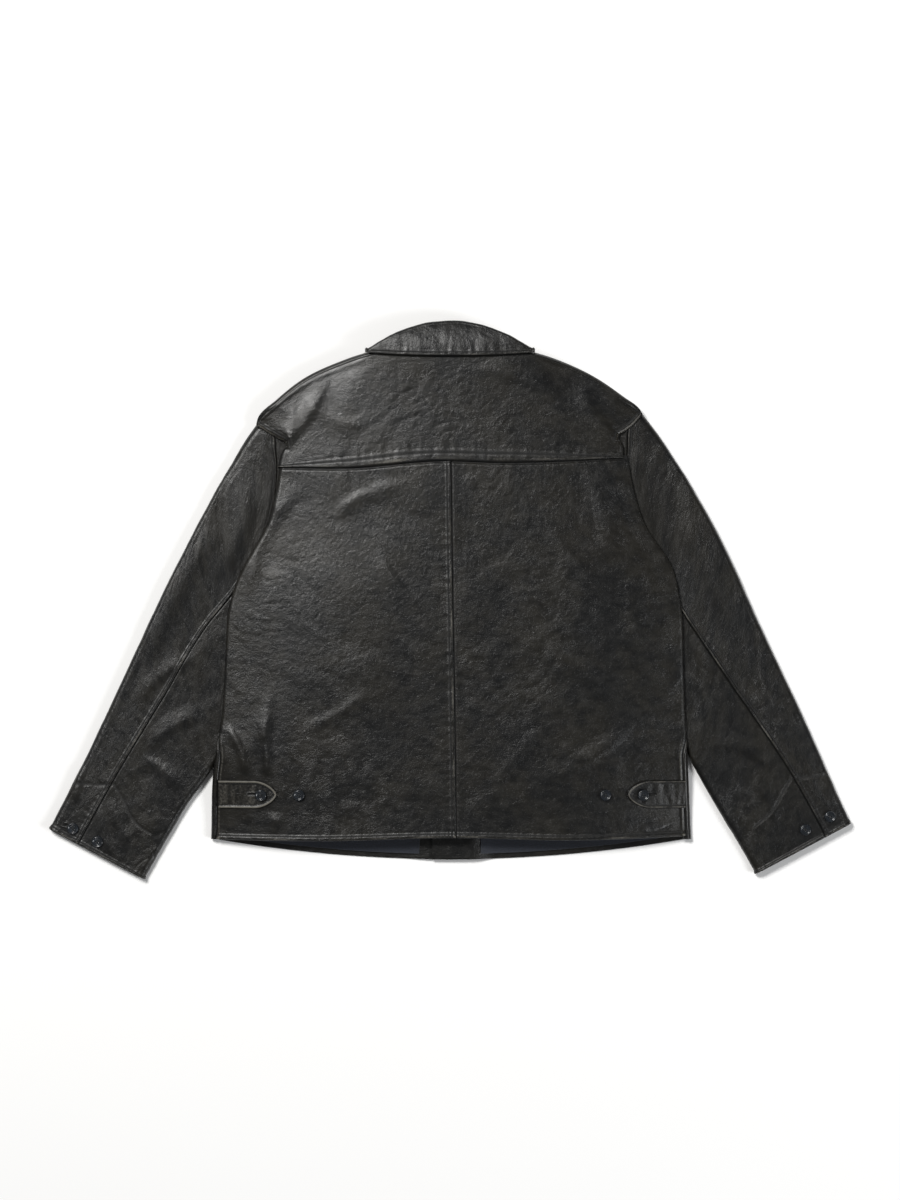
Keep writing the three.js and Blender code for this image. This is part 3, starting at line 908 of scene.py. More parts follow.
@dataclass(frozen=True)
class Resin:
    """Polished button resin with faint clouding.

    Attributes:
        name: name of the material.
        body: main colour.
        cloud: colour of the clouds in it.
        rough: roughness of the polish.
    """

    name: str = "button resin"
    body: str = "12161b"
    cloud: str = "1f252c"
    rough: float = 0.22

    def material(self) -> bpy.types.Material:
        """Makes the material."""
        material, g, surface = started(self.name)
        place = g.add("TexCoord", {}, "Object")
        cloud = g.add("TexNoise", {"Vector": place, "Scale": 180.0, "Detail": 3.0, "Distortion": 1.5})
        scuff = g.add("TexNoise", {"Vector": place, "Scale": 900.0, "Detail": 4.0})
        shader = {
            "Base Color": g.blend(g.span(cloud, 0.45, 0.75), colour(self.body), colour(self.cloud)),
            "Roughness": g.span(scuff, 0.4, 0.8, (self.rough, self.rough + 0.18)),
            "Coat Weight": 0.4,
            "Coat Roughness": 0.08,
            "Normal": g.bump(scuff, 0.00004, 0.3),
        }
        g.tree.links.new(g.add("BsdfPrincipled", shader), surface)
        return material


@dataclass(frozen=True)
class Cotton:
    """Waxed sewing thread.

    Attributes:
        name: name of the material.
        dark: the thread's own colour, in the twist's hollows.
        light: paler colour on the twist's crests, a painted highlight.
    """

    name: str = "sewing thread"
    dark: str = "101113"
    light: str = "2b2c2b"

    def material(self) -> bpy.types.Material:
        """Makes the material."""
        material, g, surface = started(self.name)
        place = g.add("TexCoord", {}, "Object")
        twist = g.add("TexNoise", {"Vector": place, "Scale": 2600.0, "Detail": 1.0})
        # Painted highlight: the noise that bumps the twist also lightens its crests.
        shader = {
            "Base Color": g.blend(g.span(twist, 0.35, 0.65), colour(self.dark), colour(self.light)),
            "Roughness": 0.62,
            "Normal": g.bump(twist, 0.0001, 0.6),
        }
        g.tree.links.new(g.add("BsdfPrincipled", shader), surface)
        return material


@dataclass(frozen=True)
class Paper:
    """Matt studio floor.

    Attributes:
        name: name of the material.
        tone: its colour.
    """

    name: str = "studio floor"
    tone: str = "f6f6f6"

    def material(self) -> bpy.types.Material:
        """Makes the material."""
        material, g, surface = started(self.name)
        place = g.add("TexCoord", {}, "Object")
        grain = g.add("TexNoise", {"Vector": place, "Scale": 400.0, "Detail": 2.0})
        rough = g.span(grain, 0.3, 0.7, (0.9, 1.0))
        shader = {"Base Color": colour(self.tone), "Roughness": rough, "Specular IOR Level": 0.0}
        g.tree.links.new(g.add("BsdfPrincipled", shader), surface)
        return material


class Finish(Enum):
    """The finishes, each with the name of a material slot that nothing here uses."""

    LEATHER = (Leather(), "black_leather")
    WOOL = (Cloth("wool lining", "12161f", "2d3444", 0.9, 0.75, 0.0006), "wool_lining")
    POCKETING = (Cloth("pocket cotton", "1b1c1f", "2e3035", 0.35, 0.15, 0.0002), "pocket_cotton")
    RESIN = (Resin(), "button_resin")
    THREAD = (Cotton(), "black_leather")

    def dress(self, piece: bpy.types.Object) -> bpy.types.Object:
        """Gives a piece this finish.

        Args:
            piece: the piece.

        Returns:
            The same piece.
        """
        finish, title = self.value
        material = bpy.data.materials.get(finish.name) or finish.material()
        piece.data.materials.clear()
        piece.data.materials.append(material)
        return piece


# ---------------------------------------------------------------- the laid shape

MM = 0.001
LEATHER = 1.3 * MM
SEAM = SeamShape()


def box_of(node: str) -> tuple[Array, Array]:
    """Corners of a CAD node as arrays, in metres."""
    low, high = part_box(node)
    return np.array(low), np.array(high)


def in_metres(points: Sequence[tuple[float, float]]) -> list[tuple[float, float]]:
    """Turns points in millimetres into metres."""
    return [(a * MM, b * MM) for a, b in points]


@dataclass(frozen=True)
class Outline:
    """Plan outline of one half, in millimetres out from the centre line.

    Attributes:
        body: (y, x) of the body's side edge, from hem to yoke.
        outer: (x, y) of the sleeve's outer edge, from shoulder to cuff.
        inner: (x, y) of the sleeve's inner edge, from armpit to cuff.
        seam: (y, x) of the back sleeve seam, from the cuff up.
        yoke_end: height of the yoke seam at the side.
    """

    body: Sequence[tuple[float, float]]
    outer: Sequence[tuple[float, float]]
    inner: Sequence[tuple[float, float]]
    seam: Sequence[tuple[float, float]]
    yoke_end: float


OUTLINES = {
    Side.LEFT: Outline(
        body=[
            (-312, 311), (-229, 308), (-155, 297), (-60, 291), (-10, 287), (30, 273),
            (60, 256), (104, 233), (140, 225), (172, 220), (204, 213), (257, 209),
        ],
        outer=[
            (253, 226), (266, 208), (288, 171), (311, 130), (352, 52), (390, -26), (426, -104),
            (463, -182), (502, -260), (521, -298),
        ],
        inner=[
            (240, -40), (272, -130), (305, -215), (338, -260), (369, -312), (398, -363),
        ],
        seam=[(-318, 484), (-233, 437), (-125, 372), (-30, 314), (8, 283), (60, 250), (120, 228)],
        yoke_end=172,
    ),
    Side.RIGHT: Outline(
        body=[
            (-312, 314), (-217, 309), (-150, 305), (-84, 303), (-9, 299), (36, 288),
            (90, 253), (135, 238), (182, 229), (215, 219), (262, 212),
        ],
        outer=[
            (252, 240), (276, 208), (300, 171), (324, 130), (365, 52), (400, -26), (437, -104),
            (473, -182), (507, -260), (521, -291),
        ],
        inner=[
            (240, -40), (278, -130), (316, -215), (342, -260), (373, -312), (398, -356),
        ],
        seam=[(-304, 487), (-225, 443), (-96, 356), (-12, 300), (36, 272), (80, 248), (130, 232)],
        yoke_end=184,
    ),
}


class BodyForm:
    """Heights and edges that the body's panels share."""

    hem = box_of("back_panel_left")[0][1]
    neck = 320 * MM
    under_lift = 13.3 * MM
    layers = 1.6 * MM
    fold_rise = 5.0 * MM
    full = box_of("back_yoke")[1][2]
    neck_half = 88 * MM
    neck_rise = 8 * MM
    shoulder_half = 250 * MM
    shoulder_drop = 99 * MM
    roll_across = 6.5 * MM
    turn = 2.5

    def __init__(self) -> None:
        """Prepares the edge curves."""
        self.edges = {side: smooth_curve(in_metres(OUTLINES[side].body)) for side in Side}
        yoke = [(-222, 172), (-132, 171), (-12, 180), (68, 178), (150, 180), (222, 184)]
        self.yoke_seam = smooth_curve(in_metres(yoke))
        self.back_hem = smooth_curve(
            in_metres([(-312, -311), (-160, -312), (0, -308), (160, -311), (314, -307)])
        )
        self.lap = smooth_curve(in_metres([(-312, 8), (-150, 6), (30, 3), (190, 1)]))

    def edge(self, side: Side, y: Array) -> Array:
        """How far out the body's side edge lies."""
        return self.edges[side](y)

    def lift(self, y: Array) -> Array:
        """Height of the body's sides over the sleeves."""
        return self.under_lift * ramp(y, self.hem + 8 * MM, self.hem + 118 * MM)

    def back_top(self, x: Array) -> Array:
        """Back neckline and shoulder seam."""
        x = np.abs(x)
        along = np.clip((x - self.neck_half) / (self.shoulder_half - self.neck_half), 0, 1)
        slope = self.neck + self.neck_rise - self.shoulder_drop * along**1.8
        return np.where(x > self.neck_half, slope, self.neck + self.neck_rise * (x / self.neck_half) ** 2)

    def swell(self, side: Side, x: Array, y: Array) -> Array:
        """The hide's slow swells, which the pieces that lie on the back follow."""
        return HideRelief(0).broad * gradient_noise(side.value * x / 0.15 + 20, y / 0.20 + 20, 7)

    def top(self, side: Side, x: Array, y: Array) -> Array:
        """Outer face of the back, before its edges roll over.

        Args:
            side: half of the body.
            x: distance out from the centre line.
            y: height up the body.

        Returns:
            Height above the floor.
        """
        from_side = np.clip((self.edge(side, y) - x) / (200 * MM), 0, 1)
        open_neck = 120 * MM * (1 - ramp(x, self.neck_half - 50 * MM, self.neck_half + 75 * MM))
        from_top = np.clip((self.back_top(x) - y + open_neck) / (90 * MM), 0, 1)
        base = self.lift(y) + self.layers
        dome = self.full - LEATHER - base - self.fold_rise
        swell = (1 - (1 - from_side) ** 2) * (1 - (1 - from_top) ** 2)
        return base + self.fold_rise + dome * swell + LEATHER

    def rolled(self, side: Side, along: Array, start: Array, y: Array, sink: Array) -> Array:
        """Points across the body that turn down round its side edge.

        Args:
            side: half of the body.
            along: distance out over the surface.
            start: distance out where the roll starts, per row.
            y: height up the body.
            sink: extra depth of the surface.

        Returns:
            Points, with X out from the centre line.
        """
        flat = np.minimum(along, start)
        z = self.top(side, flat, y) - sink
        down = (z - self.lift(y)) / 2
        turn = np.maximum(along - start, 0) / (0.5 * (self.roll_across + down))
        x = flat + self.roll_across * np.sin(turn)
        return np.stack([x, y, z - down * (1 - np.cos(turn))], -1)


def stretched(base: Array, lengths: Array, keep: float) -> Array:
    """Positions along rows of different lengths, with equal steps near both ends.

    Args:
        base: positions on the nominal row, from 0.
        lengths: length of each row.
        keep: how far from each end the steps stay the same.

    Returns:
        rows by columns of positions.
    """
    nominal = base[-1]
    share = np.clip((base - keep) / (nominal - 2 * keep), 0, 1)
    return base[None] + (lengths[:, None] - nominal) * share[None]


def plain(points: Array, flip: bool, lay: Optional[Array] = None) -> Sheet:
    """A sheet with no wear or creases yet."""
    blank = np.zeros(points.shape[:2])
    return Sheet(points, pattern_lay(points) if lay is None else lay, blank, blank, flip)


def mirrored_for(side: Side, points: Array) -> Array:
    """Points of the right half moved to the given side."""
    out = points.copy()
    out[..., 0] *= side.value
    return out


def rounded_edge(off: Array, radius: float = 1.3 * MM) -> Array:
    """How far a soft cut edge drops, at each distance from it."""
    share = np.clip(off / radius, 0, 1)
    return radius * (1 - np.sqrt(1 - (1 - share) ** 2))


def shown(piece: bpy.types.Object, finish: Finish, node: str, body: str) -> None:
    """Gives a piece its finish, hides the CAD node that it stands for and ties it to the body that carries
    it.

    Args:
        piece: the piece.
        finish: its finish.
        node: name of the CAD node.
        body: name of the body.
    """
    finish.dress(piece)
    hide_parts(node)
    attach(piece, body)


@dataclass
class BackPanel:
    """One half of the lower back, lapped at the centre and under the yoke.

    Attributes:
        side: half of the body.
        form: shared heights.
        tuck: how far it runs under the yoke.
        under_lap: how far the lower layer runs under the centre lap.
    """

    side: Side
    form: BodyForm
    tuck: float = 3.5 * MM
    under_lap: float = 7.5 * MM
    stitches: list = field(default_factory=list)

    @property
    def is_lapped(self) -> bool:
        """True for the half whose edge lies on top at the centre."""
        return self.side is Side.LEFT

    def folds(self) -> list[Fold]:
        """Soft folds of this half, with X out from the centre line."""
        if self.side is Side.LEFT:
            return [
                Fold((0.236, -0.135), (0.222, -0.292), 0.010, 0.0030, 0.0090),
                Fold((0.243, -0.180), (0.232, -0.262), 0.006, -0.0026, 0.0080),
                Fold((0.190, -0.165), (0.110, -0.120), 0.006, 0.0009, 0.0080),
                Fold((0.286, -0.165), (0.262, -0.228), -0.004, 0.0020, 0.0050),
                Fold((0.205, 0.140), (0.262, 0.010), 0.012, 0.0020, 0.0150),
                Fold((0.090, 0.060), (0.030, -0.010), 0.008, 0.0010, 0.0060),
                Fold((0.150, 0.110), (0.060, 0.150), -0.008, 0.0011, 0.0090),
                Fold((0.180, -0.285), (0.185, -0.225), 0.002, 0.0012, 0.0060),
            ]
        return [
            Fold((0.270, -0.020), (0.130, 0.085), 0.014, 0.0017, 0.0110),
            Fold((0.215, -0.115), (0.090, -0.030), 0.010, 0.0014, 0.0090),
            Fold((0.120, -0.235), (0.245, -0.150), -0.010, 0.0014, 0.0100),
            Fold((0.180, 0.165), (0.205, 0.060), 0.006, 0.0012, 0.0140),
            Fold((0.050, -0.270), (0.130, -0.160), 0.010, 0.0011, 0.0090),
            Fold((0.225, -0.215), (0.150, -0.190), 0.004, 0.0013, 0.0070),
        ]

    def make(self) -> bpy.types.Object:
        """Builds the panel and keeps its stitch rows."""
        form, side = self.form, self.side
        nominal = graded(0.300, 0.5 * MM, 2.3 * MM, 11 * MM)
        up = graded(0.490, 0.5 * MM, 2.3 * MM, 11 * MM)
        level = np.interp(up, [0, up[-1]], [form.hem, form.yoke_seam(0.1 * side.value)])
        inner = side.value * form.lap(level) - (0 if self.is_lapped else self.under_lap)
        start = form.edge(side, level) - form.roll_across
        down = (form.top(side, start, level) - form.lift(level)) / 2
        full_turn = form.turn * 0.5 * (form.roll_across + down)
        past = full_turn + (-1.5 * MM - full_turn) * (1 - ramp(level, -0.212, -0.150))
        along = stretched(nominal, start + past - inner, 22 * MM) + inner[:, None]
        x = np.minimum(along, start[:, None])
        low = form.back_hem(side.value * x)
        high = form.yoke_seam(side.value * x) + self.tuck
        y = low + (high - low) * (up / up[-1])[:, None]
        from_hem = y - low
        from_yoke = high - self.tuck - y
        from_centre = along - side.value * form.lap(y)
        sink = 1.6 * MM * (1 - ramp(from_yoke, 0.0, 5 * MM))
        if not self.is_lapped:
            sink = sink + 1.5 * MM * (1 - ramp(from_centre, -1 * MM, 3 * MM))
        points = form.rolled(side, along, start[:, None] + 0 * along, y, sink)
        sheet = plain(mirrored_for(side, points), side is Side.LEFT)
        seams = SEAM.at(from_hem, x, 11) - rounded_edge(from_hem)
        wear = SEAM.rubbed(from_hem, x, 12)
        ripple = gradient_noise(x / 0.0085, y / 0.03, 31) * 0.0003
        seams = seams + ripple * np.exp(-np.maximum(from_yoke, 0) / 0.010)
        if self.is_lapped:
            seams = seams + SEAM.at(from_centre, y, 14) - rounded_edge(from_centre)
            wear = wear + SEAM.rubbed(from_centre, y, 15)
        else:
            # Painted shadow on the under half along the lapped centre edge.
            wear = wear - 0.9 * (1 - ramp(from_centre, 0.6 * MM, 2.2 * MM))
        # Painted shadow just below the yoke's lapped edge.
        wear = wear - 0.9 * (1 - ramp(from_yoke, 0.4 * MM, 2.0 * MM))
        side_seam = np.maximum(along[:, -1:] - along, 0)
        low_part = 1 - ramp(y, -0.205, -0.150)
        seams = seams + low_part * (0.0007 * bump(side_seam, 3 * MM, 1.6 * MM))
        wear = wear + low_part * bump(side_seam, 2.5 * MM, 1.2 * MM) * 0.5
        edge_rub = bump(along - start[:, None], 5 * MM, 3 * MM) * (1 - low_part) * 0.45
        wear = wear + edge_rub * 0.6
        calm = 1 - ramp(x, 0.206, 0.224) * (1 - ramp(np.abs(y + 0.252), 0.021, 0.036))
        for fold in self.folds():
            seams = seams + calm * fold.at(x, y)
        near = np.minimum(np.minimum(from_hem, from_yoke), np.minimum(np.abs(from_centre), side_seam))
        hold = (0.15 + 0.85 * ramp(near, 2 * MM, 16 * MM)) * calm
        crackle = np.exp(-(((x - 0.275) / 0.03) ** 2 + ((y + 0.10) / 0.05) ** 2)) if side is Side.LEFT else 0
        sheet.wear, sheet.crease = wear, sheet.crease + crackle
        hide = HideRelief(seed=100 if side is Side.LEFT else 200)
        sheet = hide.apply(sheet, seams, hold)
        piece = sheet.build(f"back_panel_leather_{side.word}", LEATHER)
        rows = np.arange(len(up))
        columns = np.arange(along.shape[1])
        hem_row = np.full(len(columns), np.interp(SEAM.width, up, rows))
        self.stitches.append(sheet.sample(hem_row, columns.astype(float)))
        if self.is_lapped:
            lap_column = np.full(len(rows), np.interp(SEAM.width, nominal, columns))
            self.stitches.append(sheet.sample(rows.astype(float), lap_column))
        shown(piece, Finish.LEATHER, f"back_panel_{side.word}", "shell")
        return piece


@dataclass
class Yoke:
    """The yoke across the shoulders, lapped over the back panels.

    Attributes:
        form: shared heights.
        seam_in: how far the shoulder seam lies in from the edge of the laid shape.
        join: height of the leather at the armhole seam.
    """

    form: BodyForm
    seam_in: float = 5.0 * MM
    join: float = 14.3 * MM
    stitches: list = field(default_factory=list)

    def shoulder(self, side: Side) -> list[tuple[float, float]]:
        """(x, y) of the shoulder's edge, from the shoulder point to the neck."""
        tip = OUTLINES[side].outer[0]
        if side is Side.LEFT:
            outer = [(tip[0] - 1, tip[1]), (250, 235), (225, 260), (192, 286), (136, 312), (88, 327)]
        else:
            outer = [(tip[0] - 1, tip[1]), (247, 247), (225, 264), (190, 288), (136, 313), (88, 327)]
        return in_metres(outer)

    def borders(self, across: Array, up: Array) -> list[Array]:
        """The four border lines of the yoke in plan.

        Args:
            across: shares from left to right.
            up: shares from the seam to the neck.

        Returns:
            Bottom, top, left and right border.
        """
        ends = {}
        for side in Side:
            outline = OUTLINES[side]
            corner = (outline.body[-1][1] + 11, outline.yoke_end)
            ridge = (outline.body[-2][1] + 0.5, 206 if side is Side.LEFT else 214)
            tip = outline.outer[0]
            middle = ((ridge[0] + tip[0]) / 2 + 2, (ridge[1] + tip[1]) / 2 + 1)
            low = resampled(in_metres([corner, ridge]), 200)
            high = resampled(in_metres([ridge, middle, (tip[0] - 3, tip[1])]), 260)
            line = np.concatenate([low, high[1:]])
            run = np.concatenate([[0], np.cumsum(np.linalg.norm(np.diff(line, axis=0), axis=1))])
            at = np.stack([np.interp(up * run[-1], run, line[:, k]) for k in (0, 1)], 1)
            at[:, 0] = at[:, 0] - self.form.roll_across * (1 - ramp(up, 0.25, 0.62)) * 0.6
            ends[side] = at * (side.value, 1)
        width = across * (ends[Side.RIGHT][0, 0] - ends[Side.LEFT][0, 0]) + ends[Side.LEFT][0, 0]
        bottom = np.stack([width, self.form.yoke_seam(width)], 1)
        bottom[0], bottom[-1] = ends[Side.LEFT][0], ends[Side.RIGHT][0]
        halves = []
        for side in Side:
            line = np.array(self.shoulder(side)) - np.array([0.4, 0.9]) * self.seam_in
            line[0] = ends[side][-1] * (side.value, 1)
            halves.append([tuple(p) for p in line * (side.value, 1)])
        middle = in_metres([(-60, 322), (0, 319.5), (60, 322)])
        top_points = halves[0] + middle + halves[1][::-1]
        dense = resampled(top_points, 1200)
        top = np.stack([np.interp(across, np.linspace(0, 1, 1200), dense[:, k]) for k in (0, 1)], 1)
        return [bottom, top, ends[Side.LEFT], ends[Side.RIGHT]]

    def make(self) -> bpy.types.Object:
        """Builds the yoke and keeps its stitch rows."""
        form = self.form
        wide = graded(0.444, 0.6 * MM, 2.4 * MM, 14 * MM)
        tall = graded(0.150, 0.5 * MM, 2.2 * MM, 11 * MM)
        across, up = wide / wide[-1], tall / tall[-1]
        plan = coons(*self.borders(across, up))
        x, y = plan[..., 0], plan[..., 1]
        away = np.abs(x)
        z = np.where(x < 0, form.top(Side.LEFT, away, y), form.top(Side.RIGHT, away, y))
        tucks = []
        for side in Side:
            column = 0 if side is Side.LEFT else -1
            seam_line = plan[up > 0.30, column]
            gaps = np.full(x.shape, 1.0)
            for spot in seam_line[::3]:
                gaps = np.minimum(gaps, np.hypot(x - spot[0], y - spot[1]))
            mine = x * side.value > 0
            reach = 6 * MM + 30 * MM * ramp(y, 0.206, 0.250)
            drop = (z - self.join) * (1 - np.clip(gaps / reach, 0, 1) ** 0.8)
            z = np.where(mine & (gaps < reach), z - np.maximum(drop, 0) * ramp(up, 0.2, 0.5)[:, None], z)
            tucks.append((mine, gaps, ramp(up, 0.24, 0.36)[:, None]))
        points = np.stack([x, y, z + 0.3 * MM], -1)
        points = np.concatenate([self.curl(points, up, 0), points, self.curl(points, up, -1)], 1)
        extra = self.curl_steps
        sheet = plain(points, False)
        padded = ((0, 0), (extra, extra))
        x, y = points[..., 0], points[..., 1]
        from_seam = np.broadcast_to(tall[:, None], x.shape)
        seams = SEAM.at(from_seam, x, 21) - rounded_edge(from_seam)
        wear = SEAM.rubbed(from_seam, x, 22)
        for mine, gaps, weight in tucks:
            off = np.pad(gaps, padded, mode="edge")
            on = np.pad(mine * weight * np.ones(gaps.shape), padded, mode="edge")
            seams = seams + on * (SEAM.at(off, y * 1.7, 24) * 0.8)
            wear = wear + on * SEAM.rubbed(off, y, 25)
        top_gap = np.broadcast_to((tall[-1] - tall)[:, None], x.shape)
        beyond_neck = ramp(np.abs(x), 0.095, 0.115)
        seams = seams + beyond_neck * 0.0005 * bump(top_gap, 2 * MM, 1.5 * MM)
        for fold in self.folds():
            seams = seams + fold.at(x, y)
        near = np.minimum(from_seam, top_gap)
        hold = 0.2 + 0.8 * ramp(near, 2 * MM, 14 * MM)
        sheet.wear = wear
        sheet = HideRelief(seed=300, middle=0.00055, crease=0.00025).apply(sheet, seams, hold)
        piece = sheet.build("yoke_leather", LEATHER)
        rows, columns = np.arange(len(tall)), np.arange(x.shape[1])
        stitch_row = np.full(len(columns) - 2 * extra, np.interp(SEAM.width, tall, rows))
        self.stitches.append(sheet.sample(stitch_row, columns[extra:-extra].astype(float)))
        upper = rows[up > 0.33].astype(float)
        for column in (extra + np.interp(SEAM.width, wide, np.arange(len(wide))),):
            for at in (column, x.shape[1] - 1 - column):
                self.stitches.append(sheet.sample(upper, np.full(len(upper), at)))
        shown(piece, Finish.LEATHER, "back_yoke", "shell")
        return piece

    curl_steps = 12

    def curl(self, points: Array, up: Array, column: int) -> Array:
        """Extra columns that turn down round the yoke's end.

        Args:
            points: the yoke's flat grid.
            up: share up the yoke of each row.
            column: 0 for the left end and -1 for the right.

        Returns:
            rows by extra columns by 3, in grid order.
        """
        sign = -1 if column == 0 else 1
        weight = 1 - ramp(up, 0.20, 0.36)
        start = points[:, column]
        turn = np.linspace(0, 1, self.curl_steps + 1)[1:][None] * (
            0.25 + (self.form.turn - 0.25) * weight[:, None]
        )
        across = self.form.roll_across * (0.35 + 0.65 * weight)[:, None]
        down = ((start[:, 2] - self.form.lift(start[:, 1])) / 2)[:, None]
        x = start[:, :1] + sign * across * np.sin(turn)
        z = start[:, 2:] - down * (1 - np.cos(turn))
        y = start[:, 1:2] + 0 * turn
        out = np.stack([x, y, z], -1)
        return out[:, ::-1] if column == 0 else out

    def folds(self) -> list[Fold]:
        """Soft folds across the yoke."""
        return [
            Fold((-0.222, 0.196), (-0.160, 0.285), -0.006, 0.0016, 0.0100),
            Fold((-0.120, 0.225), (-0.190, 0.262), 0.006, 0.0010, 0.0080),
            Fold((0.225, 0.200), (0.170, 0.275), 0.008, 0.0014, 0.0110),
            Fold((0.045, 0.300), (0.140, 0.262), 0.006, 0.0010, 0.0100),
            Fold((-0.211, 0.200), (-0.205, 0.255), -0.003, 0.0009, 0.0090),
        ]


def on_surface(sheet: Sheet, line: Array) -> tuple[Array, Array]:
    """Lays a plan line on the upper face of a sheet.

    Args:
        sheet: the sheet.
        line: n by 2 plan positions.

    Returns:
        Points and normals.
    """
    flat = sheet.points.reshape(-1, 3)
    normals = sheet.normals().reshape(-1, 3)
    upper = np.nonzero(normals[:, 2] > 0.5)[0]
    points, ups = [], []
    for x, y in line:
        near = upper[np.argmin((flat[upper, 0] - x) ** 2 + (flat[upper, 1] - y) ** 2)]
        at, up = flat[near], normals[near]
        z = at[2] - (up[0] * (x - at[0]) + up[1] * (y - at[1])) / up[2]
        points.append((x, y, z))
        ups.append(up)
    return np.array(points), np.array(ups)


def slot_relief(x: Array, y: Array, start: Array, end: Array) -> tuple[Array, Array]:
    """Height of a worked buttonhole between two plan points, and a mask for painted shade in its slit."""
    run = end - start
    length = float(np.linalg.norm(run))
    run = run / length
    along = np.clip((x - start[0]) * run[0] + (y - start[1]) * run[1], 0, length)
    off = np.hypot(x - start[0] - run[0] * along, y - start[1] - run[1] * along)
    slit = np.exp(-((off / (1.1 * MM)) ** 4))
    # The second mask paints shade into the slit.
    return 0.0005 * bump(off, 2.1 * MM, 0.7 * MM) - 0.0015 * slit, np.exp(-((off / (1.5 * MM)) ** 4))


def distance_to(line: Array, x: Array, y: Array) -> Array:
    """Plan distance from each point to a line of close points."""
    best = np.full(x.shape, 1.0)
    for a in line:
        best = np.minimum(best, np.hypot(x - a[0], y - a[1]))
    return best


@dataclass
class Sleeve:
    """One sleeve laid flat: upper and under sleeve, lining, cuff facing and vent flap.

    Attributes:
        side: which sleeve.
        form: shared heights.
        thick: thickness of the flattened tube.
        roll_across: how wide its folded edges turn.
        length: along the outer edge.
        facing: depth of the cuff facing.
        vent: length of the cuff vent.
        front_seam: share of the width where the seam under the sleeve runs.
        under_lap: how far the under sleeve runs under the upper one.
        sink: how far the sleeve lies under its vent flap.
        join: height of the leather at the armhole seam.
    """

    side: Side
    form: BodyForm
    thick: float = 12.7 * MM
    roll_across: float = 8.0 * MM
    length: float = 0.579
    facing: float = 62 * MM
    vent: float = 93 * MM
    front_seam: float = 0.85
    under_lap: float = 6.0 * MM
    sink: float = 1.9 * MM
    join: float = 14.3 * MM
    stitches: list = field(default_factory=list)
    flap_stitches: list = field(default_factory=list)

    def __post_init__(self) -> None:
        """Prepares the edge lines."""
        outline = OUTLINES[self.side]
        count = 600
        self.outer = resampled(in_metres(outline.outer), count)
        self.inner = resampled(in_metres(outline.inner), count)
        tip = outline.outer[0]
        arm = [(tip[0] - 3, tip[1] + 4), (206, 207), (194, 168), (204, 100), (222, 30), (240, -40)]
        self.arm = resampled(in_metres(arm), count)
        self.steps = np.linspace(0, 1, count)
        self.seam_at = smooth_curve(in_metres(outline.seam))
        self.vent_top = 1 - self.vent / self.length

    def along(self, line: Array, share: Array) -> Array:
        """Point of a prepared line at a share of its length."""
        return np.stack([np.interp(share, self.steps, line[:, k]) for k in (0, 1)], -1)

    def plan(self, t: Array, share: Array) -> Array:
        """Plan position, t from shoulder to cuff and share from the outer to the inner edge."""
        outer, inner = self.along(self.outer, t), self.along(self.inner, t)
        share = np.clip(share, 0, 1)
        s = share[..., None]
        bend = self.along(self.arm, share) - (self.outer[0] * (1 - s) + self.inner[0] * s)
        fade = (1 - ramp(t, 0.0, 0.17))[..., None]
        return outer * (1 - s) + inner * s + bend * fade

    def width(self, t: Array) -> Array:
        """Width of the sleeve."""
        return np.linalg.norm(self.along(self.outer, t) - self.along(self.inner, t), axis=-1)

    def ring(self, t: Array, p: Array, inset: float = 0.0) -> Array:
        """A point on the flattened tube.

        Args:
            t: share along the sleeve.
            p: place round it: 0 to 1 over the top inwards, then 1 to 2 round the inner edge,
                2 to 3 back underneath, and 0 to -1 round the outer edge, -1 to -2 underneath.
            inset: depth below the outer face.

        Returns:
            The point, with X out from the centre line.
        """
        width = self.width(t)
        edge = self.roll_across / width
        turn = (self.roll_across - inset) / width
        flat = 1 - 2 * edge
        inner_turn, outer_turn = np.clip(p - 1, 0, 1) * math.pi, np.clip(-p, 0, 1) * math.pi
        share = edge + flat * np.clip(p, 0, 1) + turn * np.sin(inner_turn) - turn * np.sin(outer_turn)
        share = share - flat * np.clip(p - 2, 0, 1) + flat * np.clip(-1 - p, 0, 1)
        half = self.thick / 2
        up = (half - inset) * np.cos(inner_turn) * np.cos(outer_turn)
        cap = (self.join - self.thick - 0.2 * MM) * (1 - ramp(t, 0.0, 0.10)) * (1 - ramp(share, 0.45, 0.7))
        floor = 3.6 * MM * (1 - ramp(t, 0.0, 0.10))
        z = half + up + np.where(up > 0, cap * up / half, -floor * up / half)
        return np.concatenate([self.plan(t, share), z[..., None]], -1)

    def seam_share(self, t: Array) -> Array:
        """Place across the top, as ring gives it, where the back seam crosses each row."""
        shares = np.linspace(0, 1, 240)
        grid_t, grid_p = np.meshgrid(t, shares, indexing="ij")
        at = self.ring(grid_t, grid_p)
        miss = np.abs(at[..., 0] - self.seam_at(at[..., 1]))
        found = shares[np.argmin(miss, axis=1)]
        kernel = np.ones(9) / 9
        return np.convolve(np.pad(found, 4, mode="edge"), kernel, mode="valid")

    def rows(self) -> Array:
        """Shares along the sleeve, from the cuff up."""
        up = graded(self.length, 0.6 * MM, 2.5 * MM, 10 * MM)
        return 1 - up / self.length

    def facing_line(self) -> Array:
        """Stitch line of the cuff facing on the back of the sleeve, in plan."""
        if self.side is Side.LEFT:
            across = [(491, -238.5), (465, -239.5), (437, -240)]
            curve = [(437, -240), (427, -256), (417, -277), (407, -291), (390, -303)]
        else:
            across = [(491, -228), (467, -230), (443, -232)]
            curve = [(443, -232), (434, -247), (424, -266), (412, -281), (396, -294)]
        return np.concatenate([resampled(in_metres(across), 50), resampled(in_metres(curve), 80)[1:]])

